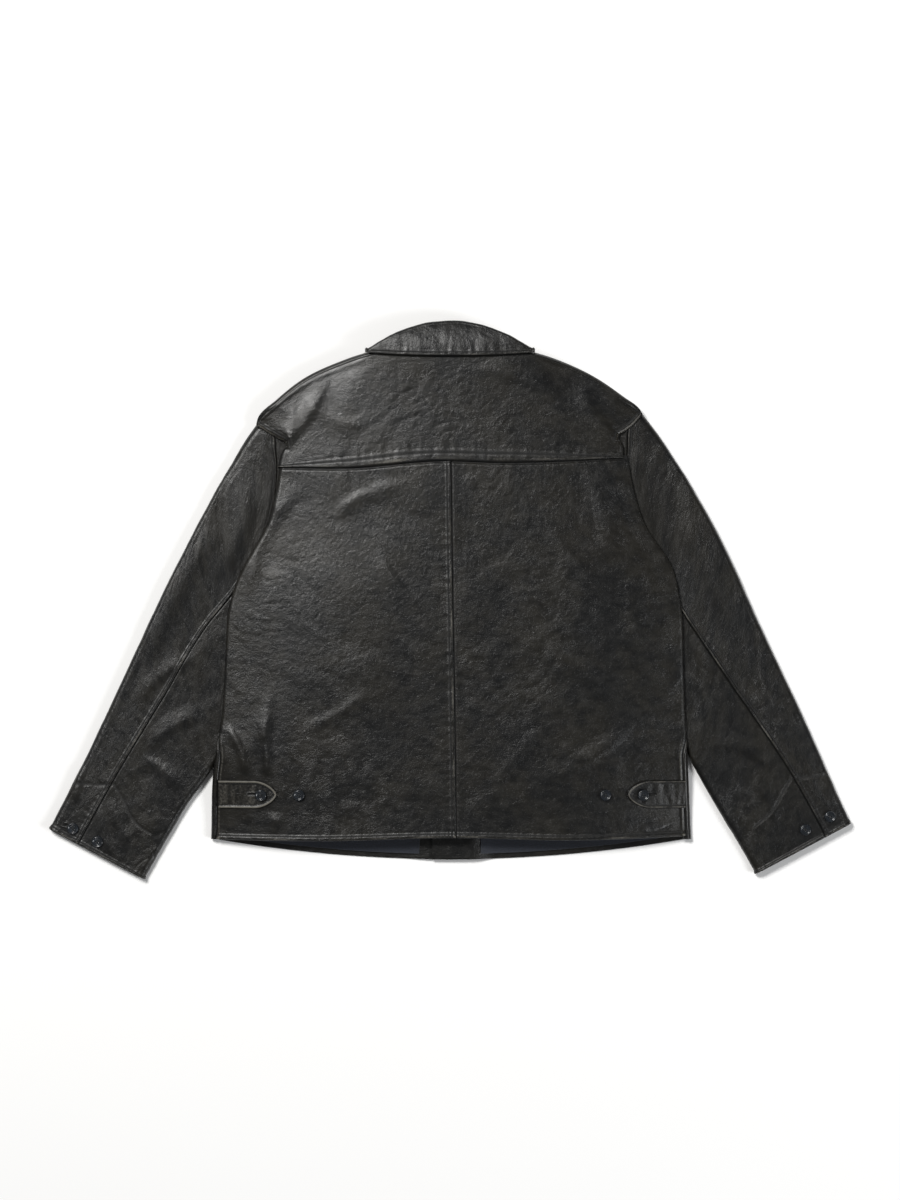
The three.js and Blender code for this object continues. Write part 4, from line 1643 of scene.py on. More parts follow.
    def finished(self, sheet: Sheet, extra: Array, hold: Array, seed: int) -> Sheet:
        """Adds folds, the facing line and the hide's own relief."""
        x, y = np.abs(sheet.points[..., 0]), sheet.points[..., 1]
        upper = ramp(sheet.points[..., 2], 8 * MM, 12 * MM)
        line = self.facing_line()
        away = distance_to(line, x, y)
        extra = extra - upper * 0.0008 * np.exp(-0.5 * (away / 0.9e-3) ** 2)
        # Painted shade along the facing's stitch line.
        sheet.wear = sheet.wear - 0.9 * upper * np.exp(-0.5 * (away / 0.7e-3) ** 2)
        ripple = gradient_noise(x / 0.010, y / 0.010, seed + 40)
        extra = extra + upper * 0.00025 * ripple * np.exp(-away / 0.012)
        for fold in self.folds():
            extra = extra + upper * fold.at(x, y)
        return HideRelief(seed=seed, broad=0.0013, middle=0.0009, slant=1.0).apply(sheet, extra, hold)

    def folds(self) -> list[Fold]:
        """Soft folds of this sleeve, with X out from the centre line."""
        if self.side is Side.LEFT:
            return [
                Fold((0.300, 0.090), (0.395, -0.085), 0.010, 0.0016, 0.0130),
                Fold((0.262, 0.150), (0.300, 0.030), -0.010, 0.0014, 0.0120),
                Fold((0.335, -0.075), (0.405, -0.130), 0.006, 0.0012, 0.0080),
                Fold((0.330, -0.150), (0.395, -0.195), 0.006, 0.0012, 0.0090),
                Fold((0.395, -0.205), (0.350, -0.245), -0.004, 0.0013, 0.0070),
                Fold((0.440, -0.262), (0.415, -0.318), 0.002, 0.0012, 0.0060),
                Fold((0.456, -0.268), (0.440, -0.330), 0.002, 0.0011, 0.0060),
                Fold((0.478, -0.215), (0.484, -0.262), 0.001, 0.0011, 0.0050),
            ]
        return [
            Fold((0.295, 0.105), (0.350, -0.010), 0.008, 0.0018, 0.0120),
            Fold((0.330, 0.060), (0.400, -0.070), -0.008, 0.0014, 0.0110),
            Fold((0.322, -0.060), (0.362, -0.150), 0.006, 0.0014, 0.0100),
            Fold((0.345, -0.185), (0.420, -0.215), 0.005, 0.0013, 0.0080),
            Fold((0.395, -0.235), (0.425, -0.290), 0.004, 0.0012, 0.0070),
            Fold((0.455, -0.190), (0.470, -0.255), 0.002, 0.0012, 0.0070),
        ]

    def flap_cover(self, t: Array, p: Array, seam: Array) -> Array:
        """1 where the sleeve lies under its vent flap."""
        down = (t - self.vent_top) / (1 - self.vent_top)
        reach = 0.10 + 0.90 * np.clip(down, 0, 1)
        fold = seam - seam * reach
        inside = (p - fold) * self.width(t)
        return ramp(down, -0.03, 0.03) * ramp(inside, 1.0 * MM, 6 * MM) * (p <= seam + 0.06)

    def make_upper(self) -> bpy.types.Object:
        """Builds the upper sleeve: from the back seam out round the fold to the front seam."""
        t = self.rows()
        seam = self.seam_share(t)
        width = self.width(t)
        nominal = graded(0.044, 0.5 * MM, 2.4 * MM, 9 * MM)
        across = stretched(nominal, np.maximum(seam * width, 0.026), 10 * MM)
        top = seam[:, None] * (1 - across / across[:, -1:])
        turn = np.linspace(0, -1, 15)[1:]
        below = -1 - self.front_seam * np.linspace(0, 1, 40)[1:]
        rest = np.broadcast_to(np.concatenate([turn, below]), (len(t), 53))
        p = np.concatenate([top, rest], 1)
        grid_t = np.broadcast_to(t[:, None], p.shape)
        points = self.ring(grid_t, p)
        along_seam = (1 - grid_t) * self.length
        from_seam = np.concatenate([across, np.full(rest.shape, 0.2)], 1)
        cover = self.flap_cover(grid_t, p, seam[:, None])
        from_cuff = along_seam
        lapped = 1 - ramp(grid_t, self.vent_top - 0.01, self.vent_top + 0.02)
        seams = lapped * (SEAM.at(from_seam, along_seam, 41) - rounded_edge(from_seam))
        cuff = (1 - cover) * (SEAM.at(from_cuff, p * width[:, None], 42) - rounded_edge(from_cuff))
        seams = seams + cuff - self.sink * cover
        wear = lapped * SEAM.rubbed(from_seam, along_seam, 43)
        wear = wear + (1 - cover) * SEAM.rubbed(from_cuff, p * 0.3, 44)
        wear = wear + (1 - cover) * 0.35 * bump(p, -0.35, 0.12) * (0.3 + gradient_noise(grid_t * 9, p, 45))
        near = np.minimum(np.minimum(from_seam, from_cuff), np.where(grid_t < 0.06, 0.0, 0.2))
        hold = (0.15 + 0.85 * ramp(near, 2 * MM, 16 * MM)) * np.where(p < -1, 0.4, 1.0)
        flip = self.side is Side.LEFT
        sheet = plain(mirrored_for(self.side, points), flip)
        sheet.wear = np.clip(wear, -1, 1)
        sheet = self.finished(sheet, seams, hold * (1 - 0.7 * cover), 400 + 10 * self.side.value)
        piece = sheet.build(f"upper_sleeve_leather_{self.side.word}", LEATHER)
        rows = np.arange(len(t)).astype(float)
        stations = np.arange(across.shape[1])
        stitch = np.array([np.interp(SEAM.width, across[i], stations) for i in range(len(t))])
        free = t < self.vent_top - 0.004
        self.stitches.append(sheet.sample(rows[free], stitch[free]))
        cuff_row = np.interp(SEAM.width, (1 - t) * self.length, rows)
        columns = np.arange(across.shape[1], p.shape[1]).astype(float)
        self.stitches.append(sheet.sample(np.full(len(columns), cuff_row), columns))
        line = self.facing_line()[:48] * (self.side.value, 1)
        self.stitches.append(on_surface(sheet, line))
        return self.dressed(piece, "upper_sleeve")

    def make_under(self) -> bpy.types.Object:
        """Builds the under sleeve: from the back seam in round the underarm to the front seam."""
        t = self.rows()
        seam = self.seam_share(t)
        width = self.width(t)
        start = np.maximum(seam - self.under_lap / width, 0.0)
        nominal = graded(0.100, 0.7 * MM, 2.5 * MM, 9 * MM)
        across = stretched(nominal, np.maximum((1 - start) * width, 0.030), 14 * MM)
        top = start[:, None] + (1 - start[:, None]) * across / across[:, -1:]
        turn = 1 + np.linspace(0, 1, 15)[1:]
        below = 2 + (1 - self.front_seam) * np.linspace(0, 1, 9)[1:]
        rest = np.broadcast_to(np.concatenate([turn, below]), (len(t), 22))
        p = np.concatenate([top, rest], 1)
        grid_t = np.broadcast_to(t[:, None], p.shape)
        points = self.ring(grid_t, p)
        from_cuff = (1 - grid_t) * self.length
        from_lap = np.concatenate([across, np.full(rest.shape, 0.2)], 1) - self.under_lap
        seams = -1.7 * MM * (1 - ramp(from_lap, -1.5 * MM, 3.0 * MM))
        seams = seams + SEAM.at(from_cuff, p * width[:, None], 52) - rounded_edge(from_cuff)
        # Painted shadow along the upper sleeve's lapped edge; the cuff seam brings its wear and painted
        # shade.
        wear = SEAM.rubbed(from_cuff, p * 0.3, 54) - 0.9 * (1 - ramp(from_lap, 0.4 * MM, 2.0 * MM))
        near = np.minimum(np.abs(from_lap), from_cuff)
        hold = (0.15 + 0.85 * ramp(near, 2 * MM, 16 * MM)) * np.where(p > 2, 0.4, 1.0)
        flip = self.side is Side.RIGHT
        sheet = plain(mirrored_for(self.side, points), flip)
        sheet.wear = np.clip(wear, -1, 1)
        sheet = self.finished(sheet, seams, hold, 450 + 10 * self.side.value)
        piece = sheet.build(f"under_sleeve_leather_{self.side.word}", LEATHER)
        rows = np.arange(len(t)).astype(float)
        cuff_row = np.interp(SEAM.width, (1 - t) * self.length, rows)
        columns = np.arange(p.shape[1]).astype(float)
        seen = columns[from_lap[0] > 1 * MM]
        self.stitches.append(sheet.sample(np.full(len(seen), cuff_row), seen))
        line = self.facing_line()[52:] * (self.side.value, 1)
        self.stitches.append(on_surface(sheet, line))
        return self.dressed(piece, "under_sleeve")

    def dressed(self, piece: bpy.types.Object, node: str) -> bpy.types.Object:
        """Finishes one sleeve leather, hides its CAD node and bakes its placement.

        Args:
            piece: the built leather.
            node: CAD node that it stands for, without its side.

        Returns:
            The piece.
        """
        Finish.LEATHER.dress(piece)
        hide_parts(f"{node}_{self.side.word}")
        self.bend_at_shoulder(piece)
        return piece

    def bend_at_shoulder(self, piece: bpy.types.Object) -> None:
        """Bakes a piece's placement into its mesh."""
        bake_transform(piece)

    def make_inside(self) -> None:
        """Builds the lining and the cuff facing inside the tube."""
        word = self.side.word
        shares = 1 - self.facing / self.length
        for name, node, low, high, inset, thick, finish in (
            ("lining_sleeve_wool", "lining_sleeve", 0.03, shares, 3.0 * MM, 1.0 * MM, Finish.WOOL),
            (
                "cuff_facing_leather",
                "cuff_facing",
                shares + 0.001,
                0.9965,
                2.6 * MM,
                1.2 * MM,
                Finish.LEATHER,
            ),
        ):
            t = np.linspace(high, low, 12 if finish is Finish.LEATHER else 90)
            p = np.concatenate(
                [np.linspace(-0.02, 1, 30), np.linspace(1, 2, 9)[1:], np.linspace(2, 3, 30)[1:]]
            )
            p = np.concatenate([p, np.linspace(-1, -0.005, 9)[1:]])
            grid_t, grid_p = np.meshgrid(t, p, indexing="ij")
            points = self.ring(grid_t, grid_p, inset)
            sheet = plain(mirrored_for(self.side, points), self.side is Side.RIGHT)
            sheet = sheet.raised(0.0003 * gradient_noise(points[..., 0] / 0.02, points[..., 1] / 0.03, 61))
            piece = sheet.build(f"{name}_{word}", thick)
            finish.dress(piece)
            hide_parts(f"{node}_{word}")
            if node == "lining_sleeve":
                self.bend_at_shoulder(piece)
            else:
                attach(piece, f"sleeve_{word}")

    def make_flap(self) -> bpy.types.Object:
        """Builds the vent flap, the free corner of the upper sleeve."""
        word, s = self.side.word, self.side.value
        down = graded(self.vent, 0.5 * MM, 1.6 * MM, 9 * MM)[::-1] / self.vent
        t = self.vent_top + (1 - self.vent_top) * down
        seam = self.seam_share(np.linspace(0, 1, 300))
        edge = np.interp(t, np.linspace(0, 1, 300), seam)
        width = self.width(t)
        reach = 0.10 + 0.90 * down
        spans = np.maximum(edge * reach * width, 4 * MM)
        nominal = graded(0.026, 0.5 * MM, 1.6 * MM, 7 * MM)
        share = nominal / nominal[-1]
        across = spans[:, None] * share[None]
        close = np.minimum(nominal[None] + 0 * across, across)
        mix = np.clip(spans / (18 * MM), 0, 1)[:, None]
        opened = across + (close - across) * (1 - share) * 2
        across = mix * np.where(share < 0.5, close, opened) + (1 - mix) * across
        p = edge[:, None] - across / width[:, None]
        grid_t = np.broadcast_to(t[:, None], p.shape)
        points = self.ring(grid_t, p)
        from_cuff = (1 - grid_t) * self.length
        from_fold = spans[:, None] - across
        seams = SEAM.at(across, from_cuff, 71) - rounded_edge(across)
        seams = np.maximum(seams, SEAM.at(from_cuff, across, 72) - 0.0002) - rounded_edge(from_cuff)
        seams = seams - 0.12 * MM * (1 - ramp(from_fold, 0, 2.0 * MM))
        shift = (3.5, 15.5) if self.side is Side.RIGHT else (0.0, 0.0)
        ends = np.array([(512, -290), (497, -293)]) * MM + np.array(shift) * MM
        slot = slot_relief(points[..., 0], points[..., 1], *ends)
        seams = seams + slot[0]
        sheet = plain(mirrored_for(self.side, points), self.side is Side.LEFT)
        # Painted shade in the buttonhole slit.
        sheet.wear = SEAM.rubbed(across, from_cuff, 73) + SEAM.rubbed(from_cuff, across, 74) - slot[1]
        hold = 0.3 + 0 * across
        sheet = self.finished(sheet, seams, hold, 400 + 10 * s)
        piece = sheet.build(f"cuff_flap_leather_{word}", LEATHER)
        rows = np.arange(len(t)).astype(float)
        stitch = np.array([np.interp(SEAM.width, across[i], np.arange(p.shape[1])) for i in range(len(t))])
        turn = np.interp(SEAM.width, from_cuff[:, 0], rows)
        free = rows > turn
        self.flap_stitches.append(sheet.sample(rows[free], stitch[free]))
        corner_column = stitch[int(turn)]
        columns = np.arange(p.shape[1]).astype(float)
        columns = columns[(columns > corner_column) & (from_fold[0] > 2.5 * MM)]
        self.flap_stitches.append(sheet.sample(np.full(len(columns), turn), columns))
        Finish.LEATHER.dress(piece)
        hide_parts(f"cuff_flap_{word}")
        self.bend_at_vent(piece)
        return piece

    def bend_at_vent(self, piece: bpy.types.Object) -> None:
        """Bakes a piece's placement into its mesh."""
        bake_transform(piece)

    def make(self) -> None:
        """Builds every piece of the sleeve."""
        self.make_upper()
        self.make_under()
        self.make_inside()
        self.make_flap()
        thread = stitched(f"sleeve_stitches_{self.side.word}", self.stitches)
        Finish.THREAD.dress(thread)
        self.bend_at_shoulder(thread)
        thread = stitched(f"flap_stitches_{self.side.word}", self.flap_stitches)
        Finish.THREAD.dress(thread)
        self.bend_at_vent(thread)


@dataclass
class Front:
    """One front, lying face down: leather, wrapped edges, facing, lining and pocket.

    Attributes:
        side: which front.
        form: shared heights.
        overlap: how far it reaches past the centre line.
        dip: how far its hem hangs below the back hem in the middle.
        armhole: distance out of its armhole edge.
        shoulder_in: how far the shoulder seam lies in from the shoulder's edge.
        stand: height of the front edge over the floor, on its buttons.
        layer: one leather and the air over it.
    """

    side: Side
    form: BodyForm
    overlap: float = 23.4 * MM
    dip: float = 27 * MM
    armhole: float = 235 * MM
    shoulder_in: float = 5 * MM
    stand: float = 3.4 * MM
    layer: float = 1.6 * MM

    def face(self, x: Array, y: Array) -> Array:
        """Height of the outer face, which lies on the floor or on a sleeve."""
        over = ramp(x, self.armhole - 95 * MM, self.armhole) * (1 - ramp(y, -55 * MM, -10 * MM))
        near_top = ramp(y, self.form.back_top(x) - 34 * MM, self.form.back_top(x))
        wing = 1.9 * MM * ramp(y, 110 * MM, 170 * MM)
        shoulder = (self.form.under_lift - 1.9 * MM) * near_top * ramp(x, 74 * MM, 88 * MM)
        under = self.stand + (2 * self.layer if self.side is Side.RIGHT else 0)
        middle = under * (1 - ramp(x, 26 * MM, 62 * MM))
        return np.maximum(middle, wing) + self.form.lift(y) * over + shoulder

    def shoulder_line(self) -> Array:
        """Plan line of the shoulder's edge, from the neck out."""
        return resampled(Yoke(self.form).shoulder(self.side)[::-1], 160)

    def top_edge(self, x: Array) -> Array:
        """Neckline and shoulder edge as a function of the distance out."""
        line = self.shoulder_line() - np.array([0.4, 0.9]) * self.shoulder_in
        neck = 253 * MM + (line[0, 1] - 253 * MM) * (np.maximum(x, 0) / line[0, 0]) ** 2.4
        return np.where(x < line[0, 0], neck, np.interp(x, line[:, 0], line[:, 1]))

    def grid(self, inner: float, outer: Optional[float], inset: float, top: float) -> Array:
        """Points across the front between two distances out, up to a share of its height.

        Args:
            inner: distance out where it starts.
            outer: distance out where it ends, or None for the front's own edge.
            inset: how far its lower edge stops above the hem.
            top: share of the way from the chest to the neck where it ends.

        Returns:
            Grid on the outer face.
        """
        low = graded(0.440, 0.6 * MM, 4 * MM, 8 * MM)
        chest = self.form.hem + 0.440
        level = np.concatenate([self.form.hem + low, np.full(34, chest)])
        share = np.concatenate([np.zeros(len(low)), np.linspace(0, top, 35)[1:]])
        side = self.form.edge(self.side, level) - self.form.roll_across
        arm = self.armhole - 9 * MM * ramp(level, -60 * MM, chest)
        tip = self.shoulder_line()[-1, 0] - 4 * MM
        edge = np.where(level < -60 * MM, side, arm + (tip - arm) * share**2)
        if outer is not None:
            edge = np.minimum(edge, outer)
        base = graded(0.240, 0.6 * MM, 4 * MM, 8 * MM)
        x = inner + (edge - inner)[:, None] * (base / base[-1])[None]
        sag = self.dip * (1 - (np.abs(x) / (311 * MM)) ** 2) - inset
        start = level[:, None] - sag * (1 - ramp(level, self.form.hem, self.form.hem + 0.12))[:, None]
        y = start + (self.top_edge(x) - start) * share[:, None]
        last = y[:, -1]
        limit = self.form.edge(self.side, last) - 5 * MM + 40 * MM * ramp(last, 0.198, 0.226)
        fit = np.where(last < -60 * MM, 1.0, np.minimum(1, (limit - inner) / (x[:, -1] - inner)))
        x = inner + (x - inner) * fit[:, None]
        y = start + (self.top_edge(x) - start) * share[:, None]
        return np.stack([x, y, self.face(np.maximum(x, 0), y)], -1)

    def finish(self, name: str, node: str, points: Array, facing_up: bool, finish: Finish) -> Sheet:
        """Builds one sheet of the front.

        Args:
            name: name of the piece.
            node: CAD node that it stands for.
            points: its grid.
            facing_up: True where the finished side is up.
            finish: its finish.

        Returns:
            The sheet.
        """
        word = self.side.word
        flip = (self.side is Side.LEFT) == facing_up
        sheet = plain(mirrored_for(self.side, points), flip)
        if finish is Finish.WOOL:
            x, y = sheet.points[..., 0], sheet.points[..., 1]
            sheet = sheet.raised(0.0007 * gradient_noise(x / 0.03, y / 0.05, 81))
            piece = sheet.build(f"{name}_{word}", 1.0 * MM)
        else:
            sheet = HideRelief(seed=500, broad=0.0, middle=0.0003, crease=0.0002).apply(sheet)
            piece = sheet.build(f"{name}_{word}", LEATHER)
        shown(piece, finish, f"{node}_{word}", "shell")
        return sheet

    def wrap_strips(self) -> None:
        """Builds the parts of the front that show from above: side strip and shoulder strip."""
        form, side, word = self.form, self.side, self.side.word
        y = np.linspace(form.hem - 0.5 * MM, -18 * MM, 170)
        start = form.edge(side, y) - form.roll_across
        down = (form.top(side, start, y) - form.lift(y)) / 2
        mean = 0.5 * (form.roll_across + down)
        past = form.turn * mean + (-1.5 * MM - form.turn * mean) * (1 - ramp(y, -0.212, -0.150))
        first, last = past - 4 * MM, math.pi * mean
        share = np.linspace(0, 1, 26)[None]
        along = start[:, None] + first[:, None] + (last - first)[:, None] * share
        off = along - start[:, None] - past[:, None]
        sink = 1.5 * MM * (1 - ramp(off, -1 * MM, 2 * MM))
        rows = np.broadcast_to(y[:, None], along.shape)
        points = form.rolled(side, along, start[:, None] + 0 * along, rows, sink)
        sheet = plain(mirrored_for(side, points), side is Side.LEFT)
        ridge = 0.0008 * bump(off, 3.2 * MM, 1.3 * MM) + 0.0002 * gradient_noise(rows / 0.01, off / 0.01, 83)
        # Rub on the ridge, and painted shadow where the strip comes out from under the back panel's edge.
        sheet.wear = bump(off, 3.4 * MM, 1.2 * MM) * 0.35 - bump(off, 0.0, 0.8 * MM)
        sheet = sheet.raised(ridge)
        piece = sheet.build(f"front_side_strip_{word}", LEATHER)
        self.attach(piece)
        line = self.shoulder_line()[4:-1]
        ahead = np.gradient(line, axis=0)
        ahead /= np.linalg.norm(ahead, axis=1, keepdims=True)
        out = np.stack([-ahead[:, 1], ahead[:, 0]], 1)
        across = self.shoulder_in + 1 * MM
        foot = line - out * across
        high = form.top(side, foot[:, 0], foot[:, 1]) + 0.3 * MM
        tip = 1 - ramp(np.linalg.norm(line - line[-1], axis=1), 4 * MM, 34 * MM)
        high = high + (14.6 * MM - high) * tip
        low = form.under_lift
        drop = (high - low) / 2
        turn = np.linspace(-0.75, math.pi, 24)[None]
        reach = np.where(turn < 0, across * turn, across * np.sin(turn))
        plan = foot[:, None] + out[:, None] * reach[..., None]
        z = high[:, None] - drop[:, None] * (1 - np.cos(np.maximum(turn, 0)))
        z = z - 1.4 * MM * ramp(-turn, -0.1, 0.4)
        points = np.concatenate([plan, z[..., None]], -1)
        sheet = plain(mirrored_for(side, points), side is Side.RIGHT)
        ridge = 0.0007 * bump(turn * across, 2.2 * MM, 1.3 * MM) + 0 * z
        # Rub on the ridge, and painted shadow where the strip comes out from under the yoke's edge.
        sheet.wear = bump(turn * across, 2.4 * MM, 1.3 * MM) * 0.3 - bump(turn * across, 0, 0.7 * MM) + 0 * z
        sheet = sheet.raised(ridge)
        self.attach(sheet.build(f"front_shoulder_strip_{word}", LEATHER))

    def attach(self, piece: bpy.types.Object) -> None:
        """Finishes a strip of the front and lets it ride with the body."""
        Finish.LEATHER.dress(piece)
        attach(piece, "shell")

    def make(self) -> None:
        """Builds every piece of the front."""
        own = self.grid(-self.overlap, None, 0.0, 1.0)
        self.finish("front_panel_leather", "front_panel", own, False, Finish.LEATHER)
        facing = self.grid(-self.overlap, 44 * MM, 1 * MM, 0.5)
        facing[..., 2] += self.layer + LEATHER
        self.finish("front_facing_leather", "front_facing", facing, True, Finish.LEATHER)
        lining = self.grid(40 * MM, None, 7 * MM, 0.5)
        lining[..., 0] = np.minimum(lining[..., 0], lining[:, -1:, 0] - 12 * MM)
        lining[..., 2] += 4.4 * MM
        self.finish("lining_front_wool", "lining_front", lining, True, Finish.WOOL)
        self.make_pocket()
        self.wrap_strips()

    def make_pocket(self) -> None:
        """Builds the pocket bag and the welt inside its mouth."""
        for node, name, finish, centre, size, lift in (
            ("pocket_bag", "pocket_bag_cotton", Finish.POCKETING, (0.089, -0.150), (0.046, 0.170), 2.8 * MM),
            ("pocket_welt", "pocket_welt_leather", Finish.LEATHER, (0.124, -0.150), (0.022, 0.135), 2.9 * MM),
        ):
            x = centre[0] + np.linspace(-0.5, 0.5, 20) * size[0]
            y = centre[1] + np.linspace(-0.5, 0.5, 60) * size[1]
            grid_x, grid_y = np.meshgrid(x, y)
            z = lift + 0.0002 * gradient_noise(grid_x / 0.012, grid_y / 0.02, 91)
            z = z - rounded_edge(np.minimum(size[0] / 2 - np.abs(grid_x - centre[0]), 0.01), 0.8 * MM) * 0.6
            points = np.stack([grid_x, grid_y, z], -1)
            sheet = plain(mirrored_for(self.side, points), self.side is Side.LEFT)
            piece = sheet.build(f"{name}_{self.side.word}", 1.1 * MM)
            shown(piece, finish, f"{node}_{self.side.word}", "shell")


@dataclass
class BackInside:
    """Lining of the back, neck facing and hanger loop.

    Attributes:
        form: shared heights.
        slack: air between the leather and the lining.
    """

    form: BodyForm
    slack: float = 0.8 * MM

    def top(self, x: Array, y: Array) -> Array:
        """Outer face of the back at any X."""
        away = np.abs(x)
        return np.where(x < 0, self.form.top(Side.LEFT, away, y), self.form.top(Side.RIGHT, away, y))

    def sheet_under(self, name: str, node: str, x: Array, y: Array, drop: float, finish: Finish) -> None:
        """Builds a sheet at a depth under the back."""
        z = self.top(x, y) - drop
        sheet = plain(np.stack([x, y, z], -1)[:, ::-1], True)
        relief = gradient_noise(x / 0.04, y / 0.05, 95)[..., None]
        sheet.points = sheet.points + np.array([0, 0, 0.0005]) * relief
        piece = sheet.build(name, 1.0 * MM if finish is Finish.WOOL else LEATHER)
        shown(piece, finish, node, "shell")

    def make(self) -> None:
        """Builds the pieces."""
        level = np.linspace(self.form.hem + 9 * MM, 0.235, 130)
        left = -(self.form.edge(Side.LEFT, level) - 16 * MM)
        right = self.form.edge(Side.RIGHT, level) - 16 * MM
        share = np.linspace(0, 1, 150)
        x = left[:, None] + (right - left)[:, None] * share
        y = np.broadcast_to(level[:, None], x.shape)
        drop = LEATHER + self.slack + 1.9 * MM
        self.sheet_under("lining_back_wool", "lining_back", x, y, drop, Finish.WOOL)
        x, y = np.meshgrid(np.linspace(-0.082, 0.082, 60), np.linspace(0.268, 0.304, 16))
        self.sheet_under("back_neck_facing_leather", "back_neck_facing", x, y, 2.6 * MM, Finish.LEATHER)
        x, across = np.meshgrid(np.linspace(-0.032, 0.032, 40), np.linspace(0, 0.006, 7))
        y = 0.302 - 0.010 * (1 - (x / 0.032) ** 2) + across
        self.sheet_under("hanger_loop_leather", "hanger_loop", x, y, 4.8 * MM, Finish.LEATHER)


@dataclass
class Collar:
    """The folded collar: leaf, under collar, stand and the two front halves.

    Attributes:
        form: shared heights.
        fold_y: height of the fold in the middle.
        fall: how much lower the fold lies at its ends.
        half: half the length of the fold.
        leaf_y: lower edge of the leaf.
        roll: how far the fold curls down.
        gauge: radius of the fold.
    """

    form: BodyForm
    fold_y: float = 362 * MM
    fall: float = 41 * MM
    half: float = 112 * MM
    leaf_y: float = 317 * MM
    roll: float = 9 * MM
    gauge: float = 4.2 * MM

    def fold(self, x: Array) -> Array:
        """Height of the fold line."""
        wave = 0.9 * MM * gradient_noise(x / 0.028, 0.0 * x, 101)
        return self.fold_y - self.fall * (np.abs(x) / self.half) ** 2 + wave

    def edge(self, x: Array) -> Array:
        """Lower edge of the leaf."""
        return self.leaf_y - 1.5 * MM + 5.0 * MM * (np.abs(x) / self.half) ** 2.5

    def bed(self, x: Array, y: Array) -> Array:
        """Height that the leaf lies at, before its fold."""
        away = np.abs(x)
        flat = np.minimum(y, self.form.back_top(away))
        under = np.where(x < 0, self.form.top(Side.LEFT, away, flat), self.form.top(Side.RIGHT, away, flat))
        past = np.clip((y - self.form.neck) / (self.fold_y - self.form.neck), 0, 1)
        return under + 1.9 * MM - self.roll * past**2

    def leaf_points(self, x: Array, share: Array, above: float, inset: float) -> Array:
        """Points of the leaf from its lower edge up to the fold and round it.

        Args:
            x: place along the collar.
            share: 0 at the edge, 1 at the fold, up to 2 round behind it.
            above: height over the bed.
            inset: how much smaller this layer is.

        Returns:
            The grid.
        """
        low, high = self.edge(x) + inset, self.fold(x) - self.gauge
        high = np.maximum(high, low + 1.2 * MM)
        y = low + (high - low) * np.clip(share, 0, 1)
        turn = np.clip(share - 1, 0, 1) * math.pi * 0.82
        z = self.bed(x, y) + above
        small = self.gauge - inset
        return np.stack([x, y + small * np.sin(turn), z - small * (1 - np.cos(turn))], -1)

    def make_leaf(self) -> None:
        """Builds leaf and under collar, each in two halves."""
        for side in Side:
            base = graded(0.114, 0.7 * MM, 1.6 * MM, 6 * MM) - 4 * MM
            x = side.value * base
            tall = graded(0.044, 0.5 * MM, 1.3 * MM, 8 * MM)
            share = np.concatenate([tall / tall[-1], 1 + np.linspace(0, 1, 13)[1:]])
            grid_x, grid_s = np.meshgrid(x, share)
            for name, node, above, inset in (
                ("collar_leaf_leather", "collar_leaf", 3.3 * MM, 0.0),
                ("under_collar_leather", "under_collar", 1.5 * MM, 1.8 * MM),
            ):
                points = self.leaf_points(grid_x, grid_s, above, inset)
                sheet = plain(points, side is Side.LEFT)
                depth = np.clip(grid_s, 0, 1) * (self.fold(grid_x) - self.edge(grid_x))
                seams = SEAM.at(depth, grid_x, 111) * 0.9 - rounded_edge(depth)
                seams = seams - 0.6 * MM * ramp(-grid_x * side.value, 0, 4 * MM)
                fade = np.exp(-np.maximum(depth - SEAM.width, 0) / 0.012) * ramp(depth, 1 * MM, 6 * MM)
                seams = seams + 0.0004 * fade * gradient_noise(grid_x / 0.0075, depth / 0.05, 113)
                off_edge = ramp(depth, 4 * MM, 14 * MM)
                seams = seams + 0.0006 * gradient_noise(grid_x / 0.022, depth / 0.018, 114) * off_edge
                tip = self.half - 2 * MM - np.abs(grid_x)
                seams = seams - rounded_edge(tip, 2.0 * MM)
                sheet.wear = SEAM.rubbed(depth, grid_x, 115)
                sheet = HideRelief(seed=600, broad=0.0, middle=0.0006, crease=0.0004).apply(sheet, seams)
                piece = sheet.build(f"{name}_{side.word}", LEATHER)
                Finish.LEATHER.dress(piece)
                if side is Side.LEFT:
                    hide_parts(node)
                self.bend(piece, side)
                if node == "collar_leaf":
                    row = np.interp(SEAM.width, tall, np.arange(len(tall)))
                    columns = np.arange(len(x) - 3).astype(float)
                    seam_line = sheet.sample(np.full(len(columns), row), columns)
                    thread = stitched(f"collar_stitches_{side.word}", [seam_line])
                    Finish.THREAD.dress(thread)
                    self.bend(thread, side)

    def bend(self, piece: bpy.types.Object, side: Side) -> None:
        """Bakes a piece's placement into its mesh."""
        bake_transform(piece)

    def make_stand(self) -> None:
        """Builds the stand behind the fold."""
        x = np.linspace(-0.100, 0.100, 110)
        share = np.linspace(0, 1, 22)
        grid_x, grid_s = np.meshgrid(x, share)
        low = self.form.back_top(grid_x) - 12 * MM
        high = np.maximum(self.fold(grid_x) - 2.2 * MM, low + 3 * MM)
        y = low + (high - low) * grid_s
        z = self.bed(grid_x, y) - 4.2 * MM
        sheet = plain(np.stack([grid_x, y, z], -1), True)
        sheet = sheet.raised(0.0004 * gradient_noise(grid_x / 0.02, y / 0.02, 121))
        piece = sheet.build("collar_stand_leather", LEATHER)
        shown(piece, Finish.LEATHER, "collar_stand", "shell")

